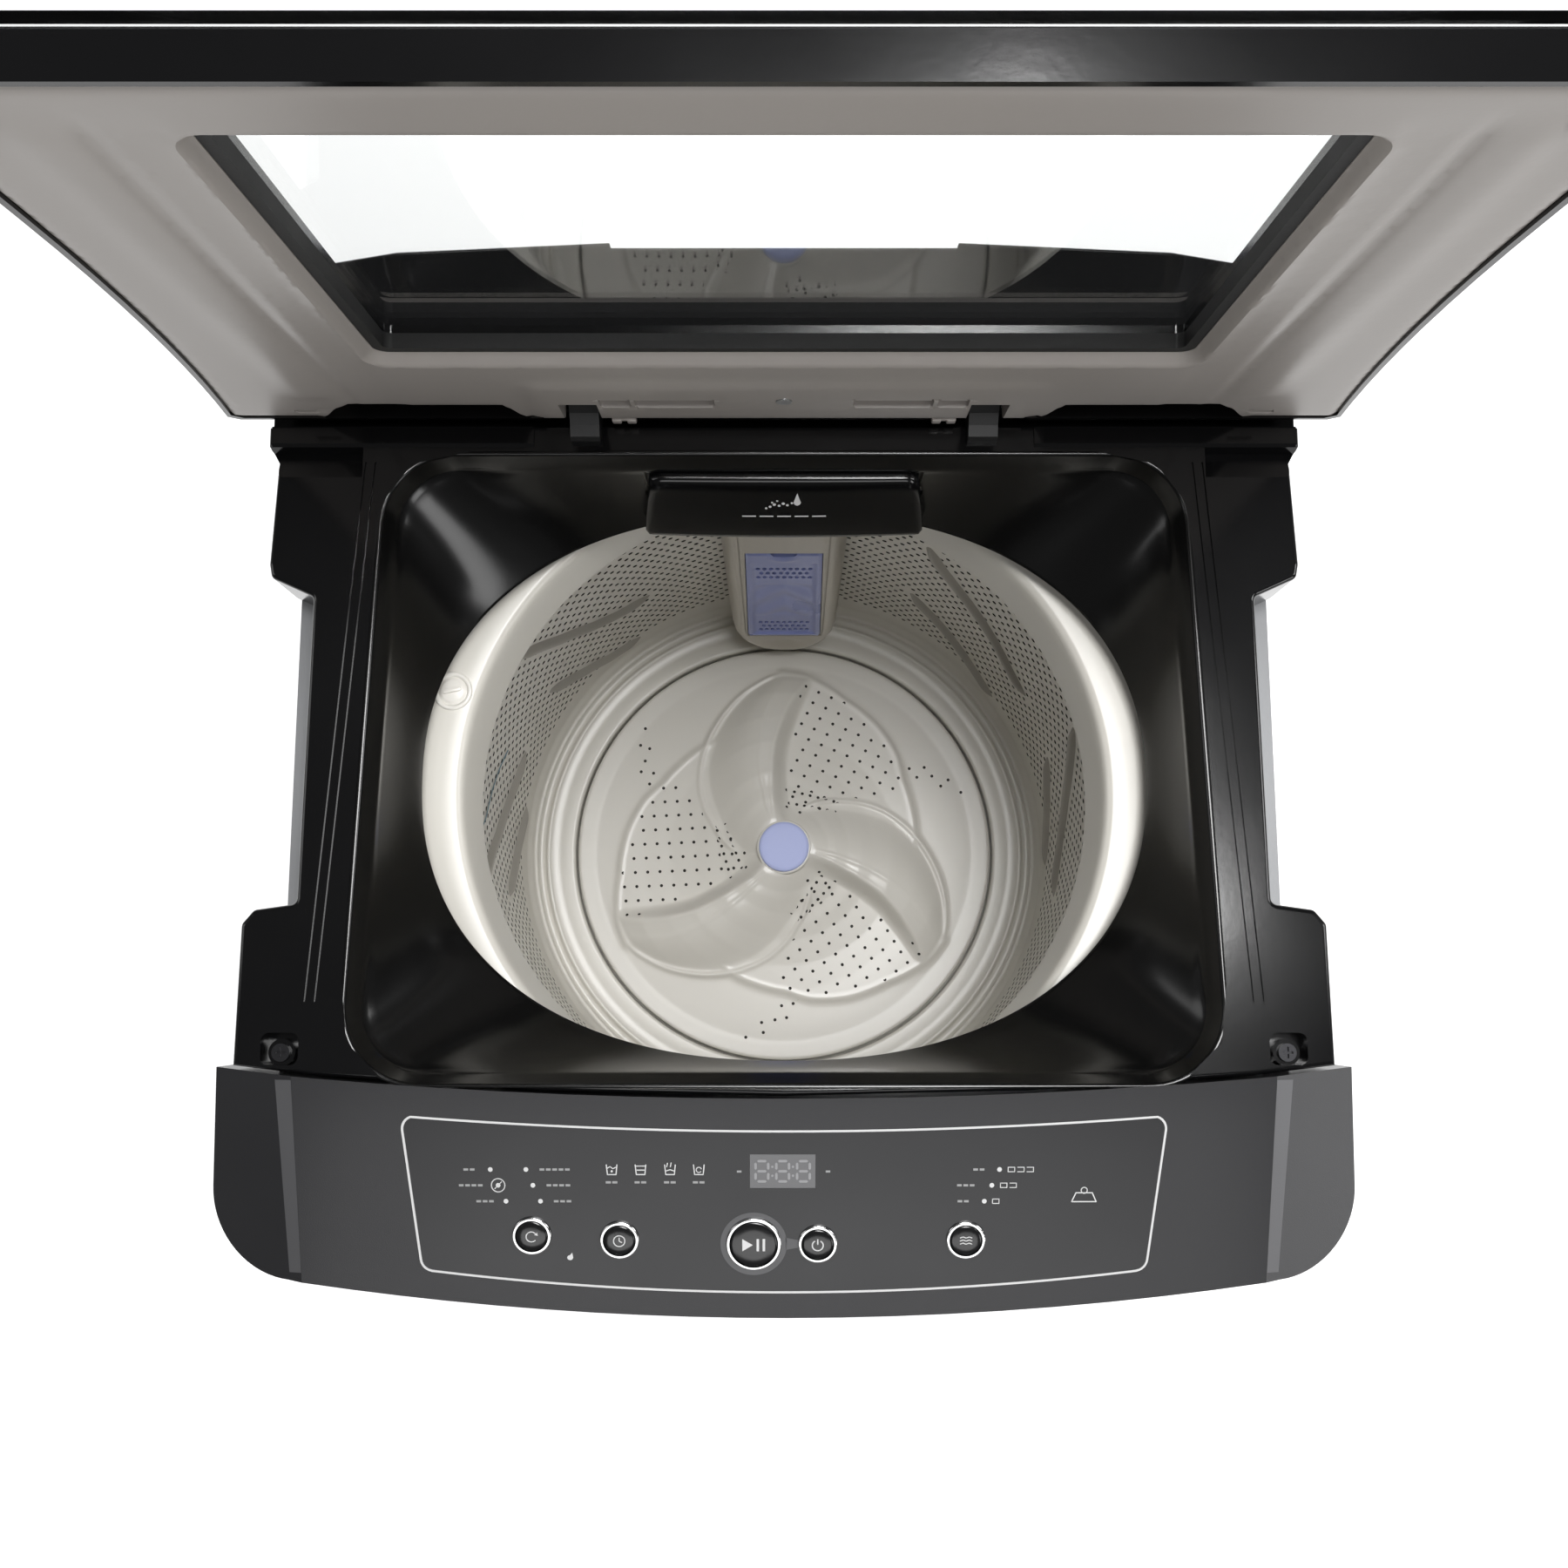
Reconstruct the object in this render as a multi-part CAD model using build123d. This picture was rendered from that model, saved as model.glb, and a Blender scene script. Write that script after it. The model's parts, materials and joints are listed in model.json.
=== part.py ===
from build123d import *
import math
import os

# Top load washing machine: front control panel, glass lid standing open.
#
# Row frame: millimetres, +Z up, +Y towards the back, +X to the right of someone
# facing the machine from the front.  The origin is on the floor, under the middle
# of the machine's plan outline.  Every solid is written at its rest place.

os.makedirs("parts", exist_ok=True)

# ---------------------------------------------------------------- dimensions
DECK_Z = 925.0                      # top face of the deck
DECK_T = 2.8                        # deck wall
BAY_Z, BAY_Y = 917.8, 171.5         # floor of the hinge trough, and its front wall
CAB_TOP, CAB_BOT = 886.0, 62.0      # steel cabinet
CAB_X, CAB_Y0, CAB_Y1 = 258.0, -252.0, 254.0
SHEET = 0.9                         # steel sheet
TY = -6.0                           # drum axis, y
FUN_Z = 862.0                       # bottom lip of the deck's funnel
RING_Z1, RING_Z0 = 849.0, 808.0     # balance ring, top and bottom
RING_RO, RING_RI, RING_RI0 = 212.0, 177.0, 174.0
BASK_R, BASK_T = 202.0, 2.0         # drum wall, inner radius and thickness
PUL_R, PUL_Z, HUB_Z = 163.0, 487.0, 520.0   # wash plate: radius, rim height, hub height
TUB_R, TUB_T = 226.0, 3.0           # outer tub, inner radius and wall
TUB_Z0, TUB_Z1 = 440.0, 847.0
PANEL_X = 280.0                     # half width of the control panel
SLOPE = math.radians(17.0)          # slope of the panel's face
PAN_Y, PAN_Z = -160.0, 927.6        # a point of the panel's face
LID_HY, LID_HZ = 184.0, 938.0       # lid hinge axis
LID_OPEN = 84.0                     # angle the lid stands open at rest
LID_L, LID_X = 335.0, 266.5         # lid, hinge axis to front edge, and half width at the front
GLASS0, GLASS1 = 5.0, 9.0           # glass pane, heights above the hinge axis when closed
WIN_X, WIN_Y0, WIN_Y1 = 185.0, -83.0, -297.0   # window in the lid
BTN_TRAVEL = 1.0
ROD_Z0 = 440.0                      # spring caps on the rods
MX, MY = -104.0, 90.0               # motor axis
BIG_R, SMALL_R = 70.0, 24.0         # pulleys
PZ0, PZ1 = 323.0, 341.0             # pulleys, bottom and top

parts = {}


# ---------------------------------------------------------------- helpers
def box(x0, x1, y0, y1, z0, z1):
    x0, x1 = sorted((x0, x1))
    y0, y1 = sorted((y0, y1))
    return Pos((x0 + x1) / 2, (y0 + y1) / 2, (z0 + z1) / 2) * Box(x1 - x0, y1 - y0, z1 - z0)


def cyl(r, x, y, z0, z1):
    return Pos(x, y, (z0 + z1) / 2) * Cylinder(r, z1 - z0)


def cyl_y(r, x, z, y0, y1):
    return Pos(x, (y0 + y1) / 2, z) * Rot(90, 0, 0) * Cylinder(r, y1 - y0)


def cyl_x(r, y, z, x0, x1):
    return Pos((x0 + x1) / 2, y, z) * Rot(0, 90, 0) * Cylinder(r, abs(x1 - x0))


def ring(ro, ri, x, y, z0, z1):
    return cyl(ro, x, y, z0, z1) - cyl(ri, x, y, z0 - 1, z1 + 1)


def rrect(x0, x1, y0, y1, z0, z1, r):
    x0, x1 = sorted((x0, x1))
    f = Pos((x0 + x1) / 2, (y0 + y1) / 2, z0) * RectangleRounded(x1 - x0, y1 - y0, r)
    return extrude(f, amount=z1 - z0, dir=(0, 0, 1))


def plan(points):
    """Closed polygon in plan as a face at z 0."""
    return make_face(Polyline(*[(x, y, 0) for x, y in points], close=True))


def prism(points, z0, z1):
    face = points if not isinstance(points, list) else plan(points)
    return extrude(Pos(0, 0, z0) * face, amount=z1 - z0, dir=(0, 0, 1))


def prism_x(points, x0, x1):
    """Closed polygon in (y, z), extruded along x."""
    face = make_face(Polyline(*[(x0, y, z) for y, z in points], close=True))
    return extrude(face, amount=x1 - x0, dir=(1, 0, 0))


def prism_y(points, y0, y1):
    """Closed polygon in (x, z), extruded along y."""
    face = make_face(Polyline(*[(x, y0, z) for x, z in points], close=True))
    return extrude(face, amount=y1 - y0, dir=(0, 1, 0))


def turned(points, y=TY, x=0.0):
    """Closed polygon in (radius, z), turned about the vertical at x, y."""
    face = make_face(Polyline(*[(r, 0, z) for r, z in points], close=True))
    return Pos(x, y, 0) * revolve(face, Axis.Z, 360)


def mirrored(points):
    return points + [(-x, y) for x, y in reversed(points)]


def below(origin, normal):
    """Everything under a plane."""
    pl = Plane(origin=origin, z_dir=Vector(*normal).normalized())
    return extrude(pl * Rectangle(1600, 1600), amount=-600)


def soften(shape, edges, radius):
    """Round edges; left sharp where the kernel can't."""
    try:
        out = fillet(edges, radius)
        if out.is_valid and len(out.solids()) == len(shape.solids()):
            return out
    except Exception:
        pass
    return shape


def put(name, *solids):
    flat = []
    for s in solids:
        flat += list(s.solids())
    parts[name] = flat


# ---------------------------------------------------------------- base and feet
base = rrect(-CAB_X + 1, CAB_X - 1, CAB_Y0 + 1, CAB_Y1 - 1, 18, CAB_BOT, 16)
base -= rrect(-CAB_X + 34, CAB_X - 34, CAB_Y0 + 34, CAB_Y1 - 34, 10, 70, 26)
FEET = [(sx * 222.0, y) for sx in (-1, 1) for y in (-216.0, 218.0)]
for fx, fy in FEET:
    sx, sy = (1 if fx > 0 else -1), (1 if fy > 0 else -1)
    base += prism([(fx + sx * 30, fy + sy * 30), (fx - sx * 34, fy + sy * 30), (fx - sx * 34, fy + sy * 6),
                   (fx + sx * 6, fy - sy * 34), (fx + sx * 30, fy - sy * 34)], 18, 40)
for fx, fy in FEET:
    base -= cyl(5.2, fx, fy, 0, 80)
put("base_frame", base)
put("rubber_feet", *[Pos(fx, fy, 0) * Cone(24, 20, 12, align=(Align.CENTER, Align.CENTER, Align.MIN)) for fx, fy in FEET])
put("foot_hardware", *[cyl(5.0, fx, fy, 12, 52) for fx, fy in FEET], *[Pos(fx, fy, 12.2) * (extrude(RegularPolygon(9.5, 6), 5.8) - cyl(5.05, 0, 0, -1, 9)) for fx, fy in FEET])

# ---------------------------------------------------------------- cabinet
wrap = rrect(-CAB_X, CAB_X, CAB_Y0, CAB_Y1, CAB_BOT, CAB_TOP, 18)
wrap -= rrect(-CAB_X + SHEET, CAB_X - SHEET, CAB_Y0 + SHEET, CAB_Y1 - SHEET, CAB_BOT + SHEET, CAB_TOP - SHEET, 16.8)
wrap -= rrect(-CAB_X + 27, CAB_X - 27, CAB_Y0 + 27, CAB_Y1 - 27, CAB_TOP - 5, CAB_TOP + 5, 10)
wrap -= rrect(-CAB_X + 16, CAB_X - 16, CAB_Y0 + 16, CAB_Y1 - 16, CAB_BOT - 5, CAB_BOT + 5, 10)
wrap -= box(-228, 228, CAB_Y1 - 6, CAB_Y1 + 6, 110, 850)          # opening behind the back panel
wrap -= box(-78, 78, 200, CAB_Y1 - SHEET, CAB_TOP - 6, CAB_TOP + 6)   # clears the dispenser
put("cabinet_wrap", wrap)

back = box(-240, 240, CAB_Y1, CAB_Y1 + SHEET, 92, 868)
for z0, z1 in ((160, 400), (440, 800)):
    back += box(-190, 190, CAB_Y1 + SHEET, CAB_Y1 + 2.6, z0, z1) - box(-176, 176, CAB_Y1, CAB_Y1 + 4, z0 + 14, z1 - 14)
back -= cyl_y(10.2, 190, 130, CAB_Y1 - 10, CAB_Y1 + 10)
back -= cyl_y(15.2, -205, 120, CAB_Y1 - 10, CAB_Y1 + 10)
BACK_SCREWS = [(sx * 234.0, z) for sx in (-1, 1) for z in (100.0, 480.0, 860.0)]
for x, z in BACK_SCREWS:
    back -= cyl_y(2.2, x, z, CAB_Y1 - 10, CAB_Y1 + 10)
wrap = parts["cabinet_wrap"][0]
for x, z in BACK_SCREWS:
    wrap = wrap - cyl_y(2.0, x, z, CAB_Y1 - 10, CAB_Y1 + 10)
wrap -= cyl_y(10.2, 190, 130, CAB_Y1 - 10, CAB_Y1 + 10)
wrap -= cyl_y(15.2, -205, 120, CAB_Y1 - 10, CAB_Y1 + 10)
put("cabinet_wrap", wrap)
put("back_panel", back)
case_screws = [cyl_y(4.0, x, z, CAB_Y1 + SHEET, CAB_Y1 + 3.2) + cyl_y(1.95, x, z, CAB_Y1 - 8, CAB_Y1 + SHEET) for x, z in BACK_SCREWS]

# corner brackets, and the four rods the drum hangs on
ROD = [(sx * 212.0, y) for sx in (-1, 1) for y in (-206.0, 206.0)]
brk, seats, rods = [], [], []
for rx, ry in ROD:
    sx, sy = (1 if rx > 0 else -1), (1 if ry > 0 else -1)
    ex, ey = sx * (CAB_X - SHEET - 0.1), (CAB_Y1 - SHEET - 0.1 if ry > 0 else CAB_Y0 + SHEET + 0.1)
    b = prism([(ex, ey - sy * 20), (ex - sx * 20, ey), (ex - sx * 74, ey), (ex - sx * 74, ey - sy * 12),
               (ex - sx * 12, ey - sy * 74), (ex, ey - sy * 74)], 852, 856)
    b += box(ex, ex - sx * 3, ey - sy * 24, ey - sy * 74, 820, 856)
    b -= cyl(6.6, rx, ry, 840, 870)
    brk.append(b)
    seats.append(cyl(13, rx, ry, 856, 863) - Pos(rx, ry, 867) * Sphere(8.2) - cyl(6.4, rx, ry, 840, 880))
    rods.append(cyl(3.5, rx, ry, ROD_Z0, 862) + Pos(rx, ry, 867) * Sphere(8.1) + cyl(17, rx, ry, ROD_Z0 - 4, ROD_Z0))
put("hanger_brackets", *brk, *seats)
put("suspension_rods", *rods)

# ---------------------------------------------------------------- deck
def corner_arc(cx, cy, r, a0, n):
    return [(cx + r * math.cos(math.radians(a0 + 90 * k / n)), cy + r * math.sin(math.radians(a0 + 90 * k / n))) for k in range(n + 1)]


def rim(w_back, w_front, y_back, y_front, r, n=8):
    """Rounded trapezium, widest at the front, counter-clockwise."""
    return (corner_arc(w_front - r, y_front + r, r, -90, n) + corner_arc(w_back - r, y_back - r, r, 0, n)
            + corner_arc(-w_back + r, y_back - r, r, 90, n) + corner_arc(-w_front + r, y_front + r, r, 180, n))


LC = -3.0               # centre the funnel's outlines are sampled about
LIPN = 60


def sample(points):
    """Where rays at even angles from (0, LC) meet a closed outline."""
    out = []
    for k in range(LIPN):
        t = 2 * math.pi * (k + 0.5) / LIPN
        dx, dy = math.cos(t), math.sin(t)
        best = 0.0
        for i in range(len(points)):
            x1, y1 = points[i]
            x2, y2 = points[(i + 1) % len(points)]
            ax, ay, bx, by = x1, y1 - LC, x2 - x1, y2 - y1
            den = dx * by - dy * bx
            if abs(den) > 1e-9:
                u, w = (ax * by - ay * bx) / den, (ax * dy - ay * dx) / den
                if u > 0 and -1e-9 <= w <= 1 + 1e-9:
                    best = max(best, u)
        out.append((dx * best, LC + dy * best))
    return out


def grown(points, g):
    out = []
    for x, y in points:
        d = math.hypot(x, y - LC)
        out.append((x * (d + g) / d, LC + (y - LC) * (d + g) / d))
    return out


def lofted(a, za, b, zb):
    wa = Wire(Polyline(*[(x, y, za) for x, y in a], close=True).edges())
    wb = Wire(Polyline(*[(x, y, zb) for x, y in b], close=True).edges())
    return Solid.make_loft([wa, wb], ruled=True)


lip_pts = []
for k in range(240):
    t = 2 * math.pi * k / 240
    c, s = math.cos(t), math.sin(t)
    lip_pts.append((196 * math.copysign(abs(c) ** (2 / 2.25), c), LC + 150 * math.copysign(abs(s) ** (2 / 2.25), s)))
TOP_O = sample(rim(206, 215, 157, -161.5, 37))
MID_O = sample(rim(201, 210, 153, -156.8, 33))
LOW_O = sample(lip_pts)
WALL = 2.4
funnel = lofted(grown(TOP_O, WALL), DECK_Z, grown(MID_O, WALL), DECK_Z - 10)
funnel += lofted(grown(MID_O, WALL), DECK_Z - 10, grown(LOW_O, WALL), FUN_Z)
funnel -= lofted(TOP_O, DECK_Z, MID_O, DECK_Z - 10)
funnel -= lofted(MID_O, DECK_Z - 10, LOW_O, FUN_Z)
funnel -= box(-75, 75, 110, 190, 869.2, 915.0)          # slot for the detergent drawer
put("splash_funnel", funnel)

# right half of the deck's outline, front to back; the front edge follows the panel
GAP_FRONT = [(268.5, -152.6), (229, -157.4), (120, -164.6), (0, -167.2)]
DECK_SIDE = [(267.8, -84), (262, -77), (241, -74), (239.5, 82), (261.5, 92), (262.8, 99), (260.6, 153), (266, 162),
             (266.4, 205), (251, 258), (202, 266.5), (91, 271.5), (90, 268.6)]
right = GAP_FRONT[:1] + DECK_SIDE
deck_pts = [(0, -167.2), (120, -164.6), (229, -157.4)] + right + [(-x, y) for x, y in reversed(right)] + [(-229, -157.4), (-120, -164.6)]
deck_face = plan(deck_pts)
corner_pts = [v for v in deck_face.vertices() if abs(v.X) > 235 and v.Y < 150 and v.Y > -150]
try:
    deck_face = fillet(corner_pts, 3.5)
except Exception:
    pass
inner_face = offset(deck_face, amount=-2.6, kind=Kind.INTERSECTION)
outer = prism(deck_face, CAB_TOP, DECK_Z) - box(-400, 400, BAY_Y, 400, BAY_Z, 1000)
top_edges = [e for e in outer.edges() if abs(e.center().Z - DECK_Z) < 0.01 and e.center().Y < BAY_Y - 1 and abs(e.center().X) > 200]
outer = soften(outer, top_edges, 2.4)
inner = prism(inner_face, CAB_TOP - 1, DECK_Z - DECK_T) - box(-400, 400, BAY_Y - 2.6, 400, BAY_Z - DECK_T, 1000)
# solid ledge ahead of the trough, at both sides
for s in (-1, 1):
    inner -= box(s * 128, s * 300, 143, 300, 916.0, 1000)
deck = outer - inner
for s in (-1, 1):
    deck += prism_x([(161, DECK_Z), (162.5, DECK_Z + 1.6), (BAY_Y, DECK_Z + 1.6), (BAY_Y, DECK_Z)], min(s * 129, s * 264), max(s * 129, s * 264))
    deck -= prism_x([(145, DECK_Z + .01), (159, DECK_Z - 5.0), (161, DECK_Z + .01)], min(s * 217, s * 300), max(s * 217, s * 300))
deck -= prism(grown(TOP_O, WALL), CAB_TOP - 5, DECK_Z + 5)
# shelf under the control panel
shelf = prism([(-229, -156.5), (229, -156.5), (229, -236), (-229, -236)], CAB_TOP, CAB_TOP + 2.6)
shelf += prism([(-229, -157.4), (-120, -164.6), (0, -167.2), (120, -164.6), (229, -157.4), (229, -152), (-229, -152)], CAB_TOP, DECK_Z - 8) - prism([(-230, -155.0), (-120, -162.0), (0, -164.6), (120, -162.0), (230, -155.0), (230, -140), (-230, -140)], CAB_TOP + 2.6, DECK_Z)
shelf -= rrect(-170, 170, -228, -180, CAB_TOP - 5, CAB_TOP + 5, 8)
shelf -= prism(grown(TOP_O, WALL), CAB_TOP - 5, DECK_Z + 5)
deck += shelf
# twin seam lines from the trough to the panel, and the two screw pockets
for s in (-1, 1):
    for d in (0.0, 5.0):
        a, b = s * (210.3 + d), s * (229.5 + d)
        deck -= prism([(a - .5, 153), (a + .5, 153), (b + .5, -122), (b - .5, -122)] if s > 0 else
                      [(a - .5, 153), (b - .5, -122), (b + .5, -122), (a + .5, 153)], DECK_Z - 1.1, DECK_Z + 1)
    px = s * 245.8
    well = rrect(px - 10.6, px + 10.6, -153.9, -135.5, DECK_Z - 14, DECK_Z - DECK_T, 5)
    deck += well
    deck -= rrect(px - 9.2, px + 9.2, -152.5, -136.9, DECK_Z - 11.5, DECK_Z + 5, 4)
    deck += cyl(6.6, px, -146.5, DECK_Z - 11.6, DECK_Z - 4)
    deck -= cyl(2.5, px, -146.5, DECK_Z - 20, DECK_Z + 2)
# bays the hinge brackets stand in, and the hole for the water inlet
deck -= cyl_y(14.2, 150, 900.5, 240, 290)
put("top_cover", deck)
put("case_screws", *case_screws, *[cyl(4.4, s * 245.8, -146.5, DECK_Z - 4, DECK_Z - 1.8) + cyl(2.45, s * 245.8, -146.5, DECK_Z - 24, DECK_Z - 4)
                     - Pos(s * 245.8, -146.5, DECK_Z - 2.5) * Box(5.4, 1.2, 1.6) - Pos(s * 245.8, -146.5, DECK_Z - 2.5) * Box(1.2, 5.4, 1.6) for s in (-1, 1)])

# raised rear cover behind the hinge trough
RC_Z = 935.0
rc_right = [(266, 197.2), (266, 205), (250.6, 257.8), (201.3, 266.5), (91, 271.8), (90, 269)]
rc = prism(mirrored(rc_right), BAY_Z, RC_Z)
rc = soften(rc, [e for e in rc.edges() if abs(e.center().Z - RC_Z) < 0.01], 2.6)
rc_in = [(263, 200), (263, 204.6), (248.2, 255.4), (200.8, 263.8), (88, 266.4)]
rc -= prism(mirrored(rc_in), BAY_Z - 1, RC_Z - 2.6)
put("rear_cover", rc)

# ---------------------------------------------------------------- hinge brackets
ARM_X = (94.5, 109.5)
ARM = [(163, DECK_Z), (163, 928.5), (164.5, 930.8), (170, 932.4), (175, 936), (179.0, 941.0), (180.6, 941.7), (182.2, 942.1), (184, 942.3),
       (185.8, 942.0), (187.1, 941.0), (188.0, 939.6), (188.3, 938), (188.3, BAY_Z), (BAY_Y, BAY_Z), (BAY_Y, DECK_Z)]
arms = []
for s in (-1, 1):
    x0, x1 = sorted((s * ARM_X[0], s * ARM_X[1]))
    arms.append(prism_x(ARM, x0, x1) - cyl_x(3.06, LID_HY, LID_HZ, x0 - 1, x1 + 1))
put("hinge_brackets", *arms)

# ---------------------------------------------------------------- control panel
def pan_outline(g):
    """Plan outline of the panel, drawn in by g."""
    front = -277.6 + g
    return Curve() + [
        ThreePointArc((-229, -158.6 - g), (0, -168.5 - g), (229, -158.6 - g)),
        Line((229, -158.6 - g), (279 - g, -153.6 - g)),
        Line((279 - g, -153.6 - g), (285 - g, -213)),
        ThreePointArc((285 - g, -213), (276.5 - g * .75, -242.5 + g * .6), (246, -258.5 + g)),
        ThreePointArc((246, -258.5 + g), (0, front), (-246, -258.5 + g)),
        ThreePointArc((-246, -258.5 + g), (-276.5 + g * .75, -242.5 + g * .6), (-285 + g, -213)),
        Line((-285 + g, -213), (-279 + g, -153.6 - g)),
        Line((-279 + g, -153.6 - g), (-229, -158.6 - g))]


FACE_N = (0, -math.sin(SLOPE), math.cos(SLOPE))


def face_cut(d):
    out = below((0, PAN_Y, PAN_Z - d), FACE_N)
    for s in (-1, 1):
        out = out & below((s * 238.5, PAN_Y, PAN_Z - d), (s * 0.30, -math.sin(SLOPE), math.cos(SLOPE)))
    return out


PAN_BOT = 871.0
panel = extrude(Pos(0, 0, PAN_BOT) * make_face(pan_outline(0)), amount=80, dir=(0, 0, 1)) & face_cut(0)
crest = [e for e in panel.edges() if e.center().Z > PAN_BOT + 5 and e.center().Y < -200 and
         (e.bounding_box().size.X > 60 or e.bounding_box().size.Y > 25) and abs(e.center().Z - (PAN_Z + (e.center().Y - PAN_Y) * math.tan(SLOPE))) < 18
         and e.bounding_box().size.Z < 30 and not (abs(abs(e.center().X) - 238.5) < 3 and e.bounding_box().size.X < 8)]
panel = soften(panel, crest, 4.0)
panel -= extrude(Pos(0, 0, PAN_BOT - 1) * make_face(pan_outline(2.8)), amount=80, dir=(0, 0, 1)) & face_cut(2.8)
panel -= rrect(-CAB_X - .3, CAB_X + .3, CAB_Y0 - .3, 0, 800, CAB_TOP + .3, 18)
panel -= box(-229.5, 229.5, -236.4, 0, 800, CAB_TOP + 2.9)

OV_TOP, OV_BOT = (186.0, -177.0), (179.5, -253.0)


def ov_outline(g):
    return Curve() + [
        ThreePointArc((-OV_TOP[0] + g, OV_TOP[1] - g), (0, -184.4 - g), (OV_TOP[0] - g, OV_TOP[1] - g)),
        Line((OV_TOP[0] - g, OV_TOP[1] - g), (OV_BOT[0] - g, OV_BOT[1] + g)),
        ThreePointArc((OV_BOT[0] - g, OV_BOT[1] + g), (0, -264.5 + g), (-OV_BOT[0] + g, OV_BOT[1] + g)),
        Line((-OV_BOT[0] + g, OV_BOT[1] + g), (-OV_TOP[0] + g, OV_TOP[1] - g))]


def ov_column(g, r):
    f = make_face(ov_outline(g))
    f = fillet(f.vertices(), r)
    return extrude(Pos(0, 0, 820) * f, amount=120, dir=(0, 0, 1))


def layer(lo, hi):
    """The slab between two heights above the panel's face."""
    t = math.tan(SLOPE)
    return prism_x([(-120, PAN_Z + 40 * t + lo), (-300, PAN_Z - 140 * t + lo), (-300, PAN_Z - 140 * t + hi), (-120, PAN_Z + 40 * t + hi)], -300, 300)


def face_plane(x, y, lift=0.0):
    z = PAN_Z + (y - PAN_Y) * math.tan(SLOPE)
    n = Vector(*FACE_N)
    return Plane(origin=Vector(x, y, z) + n * lift, x_dir=(1, 0, 0), z_dir=n)


col_out = ov_column(0, 6)
for bx, by in ((-150, -192), (-150, -236), (130, -192), (130, -236)):
    panel += extrude(face_plane(bx, by, -11.35) * Circle(3.5), amount=9.0)      # posts for the board
panel -= col_out & layer(-1.6, 8)
overlay = col_out & layer(-1.6, -0.25)
DISP = (-16.8, 15.5, -212.4, -195.6)
disp_col = box(DISP[0], DISP[1], DISP[2], DISP[3], 820, 940)
overlay -= disp_col
disp = box(DISP[0] + .1, DISP[1] - .1, DISP[2] + .1, DISP[3] - .1, 820, 940) & layer(-11.4, -0.35)
panel -= disp_col & layer(-8, 5)
BUTTONS = {"start": (-14.9, -240.1, 11.7), "power": (16.6, -240.1, 7.8), "program": (-124.1, -236.0, 7.8),
           "delay": (-81.0, -238.1, 7.8), "level": (89.5, -238.1, 7.8)}
bezels, caps, switches = [], {}, []
for name, (bx, by, br) in BUTTONS.items():
    hole = extrude(face_plane(bx, by) * Circle(br + 0.4), amount=8, both=True)
    overlay -= extrude(face_plane(bx, by) * Circle(br + 2.0), amount=6, both=True)
    panel -= hole
    bez = extrude(face_plane(bx, by, -1.6 * math.cos(SLOPE)) * Circle(br + 1.95), amount=2.5)
    bez = soften(bez, [bez.edges().filter_by(GeomType.CIRCLE).sort_by(Axis.Z)[-1]], 0.7)
    bezels.append(bez - hole)
    cap = extrude(face_plane(bx, by, -5.0) * Circle(br), amount=5.9)
    cap = soften(cap, [cap.edges().filter_by(GeomType.CIRCLE).sort_by(Axis.Z)[-1]], 0.8)
    cap += extrude(face_plane(bx, by, -7.0) * Circle(3.0), amount=2.5)
    caps[name] = cap
    switches.append(extrude(face_plane(bx, by, -10.9) * Rectangle(6, 6), amount=2.7))
put("control_panel", panel)
put("control_overlay", overlay)
put("display_module", disp)
put("button_rings", *bezels)
for name, cap in caps.items():
    put("button_" + name, cap)
put("control_board", extrude(face_plane(-10, -214, -12.6) * Rectangle(290, 58), amount=1.2), *[extrude(face_plane(bx, by, -11.4) * Rectangle(6, 6), amount=3.2) for bx, by, br in BUTTONS.values()])

# ---------------------------------------------------------------- detergent drawer
house = box(-73.6, 73.6, 158, 250, 869.5, 914.9) - box(-71.6, 71.6, 150, 247.5, 871.5, 912.9)
house -= cyl_x(5.2, 229, 900.5, 60, 90)
house -= rrect(-40, 40, 172, 200, 860, 875, 6)          # outlet above the drum
put("dispenser_housing", house)
drawer = box(-70.5, 70.5, 154, 242, 872.5, 902) - box(-68.7, -1.2, 156, 240, 874.5, 920) - box(1.2, 68.7, 156, 240, 874.5, 920)
put("detergent_drawer", drawer)
front = prism_x([(153.9, 871), (153.9, 909), (150, 912.5), (146, 911.5), (138, 895), (131.5, 877), (130.5, 872.5), (132.5, 870.4), (150, 870.4)], -76, 76)
front = front & prism([(-77, 120), (77, 120), (70.4, 160), (-70.4, 160)], 800, 950)
front = soften(front, [e for e in front.edges() if abs(abs(e.center().X) - 71.5) < 1.5 and e.center().Z > 890 and e.length > 10], 2.0)
front -= box(-46, 46, 135, 150, 860, 880)               # finger pull underneath
put("drawer_front", front)

# ---------------------------------------------------------------- water inlet and sensors
valve = box(130, 170, 214, 244, CAB_TOP, 914) + cyl_y(14.4, 150, 900.5, 244, 248) + cyl_y(13.2, 150, 900.5, 248, 277.6)
valve -= cyl_y(9.0, 150, 900.5, 254, 280)
valve += cyl_x(7.5, 229, 900.5, 108, 131)
put("inlet_valve", valve, cyl_y(8.9, 150, 900.5, 262, 264))
put("inlet_hose", cyl_x(8.2, 229, 900.5, 73.7, 107.9) - cyl_x(5.2, 229, 900.5, 70, 120))
put("sensors", cyl(24, 205, 205, CAB_TOP, 903) + cyl(11, 205, 205, 903, 911) + cyl(3.4, 205, 188, 880, CAB_TOP),
    box(118, 127, 200, 212, 893, 914.9) + box(120, 125, 202, 210, 885, 893))
gland = Pos(190, CAB_Y1 + 4.2, 130) * Rot(90, 0, 0) * (Cylinder(13, 6) - Cylinder(5, 60)) + \
    Pos(190, CAB_Y1 - 1, 130) * Rot(90, 0, 0) * (Cylinder(10, 10) - Cylinder(5, 60))
put("cord_gland", gland)
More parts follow.
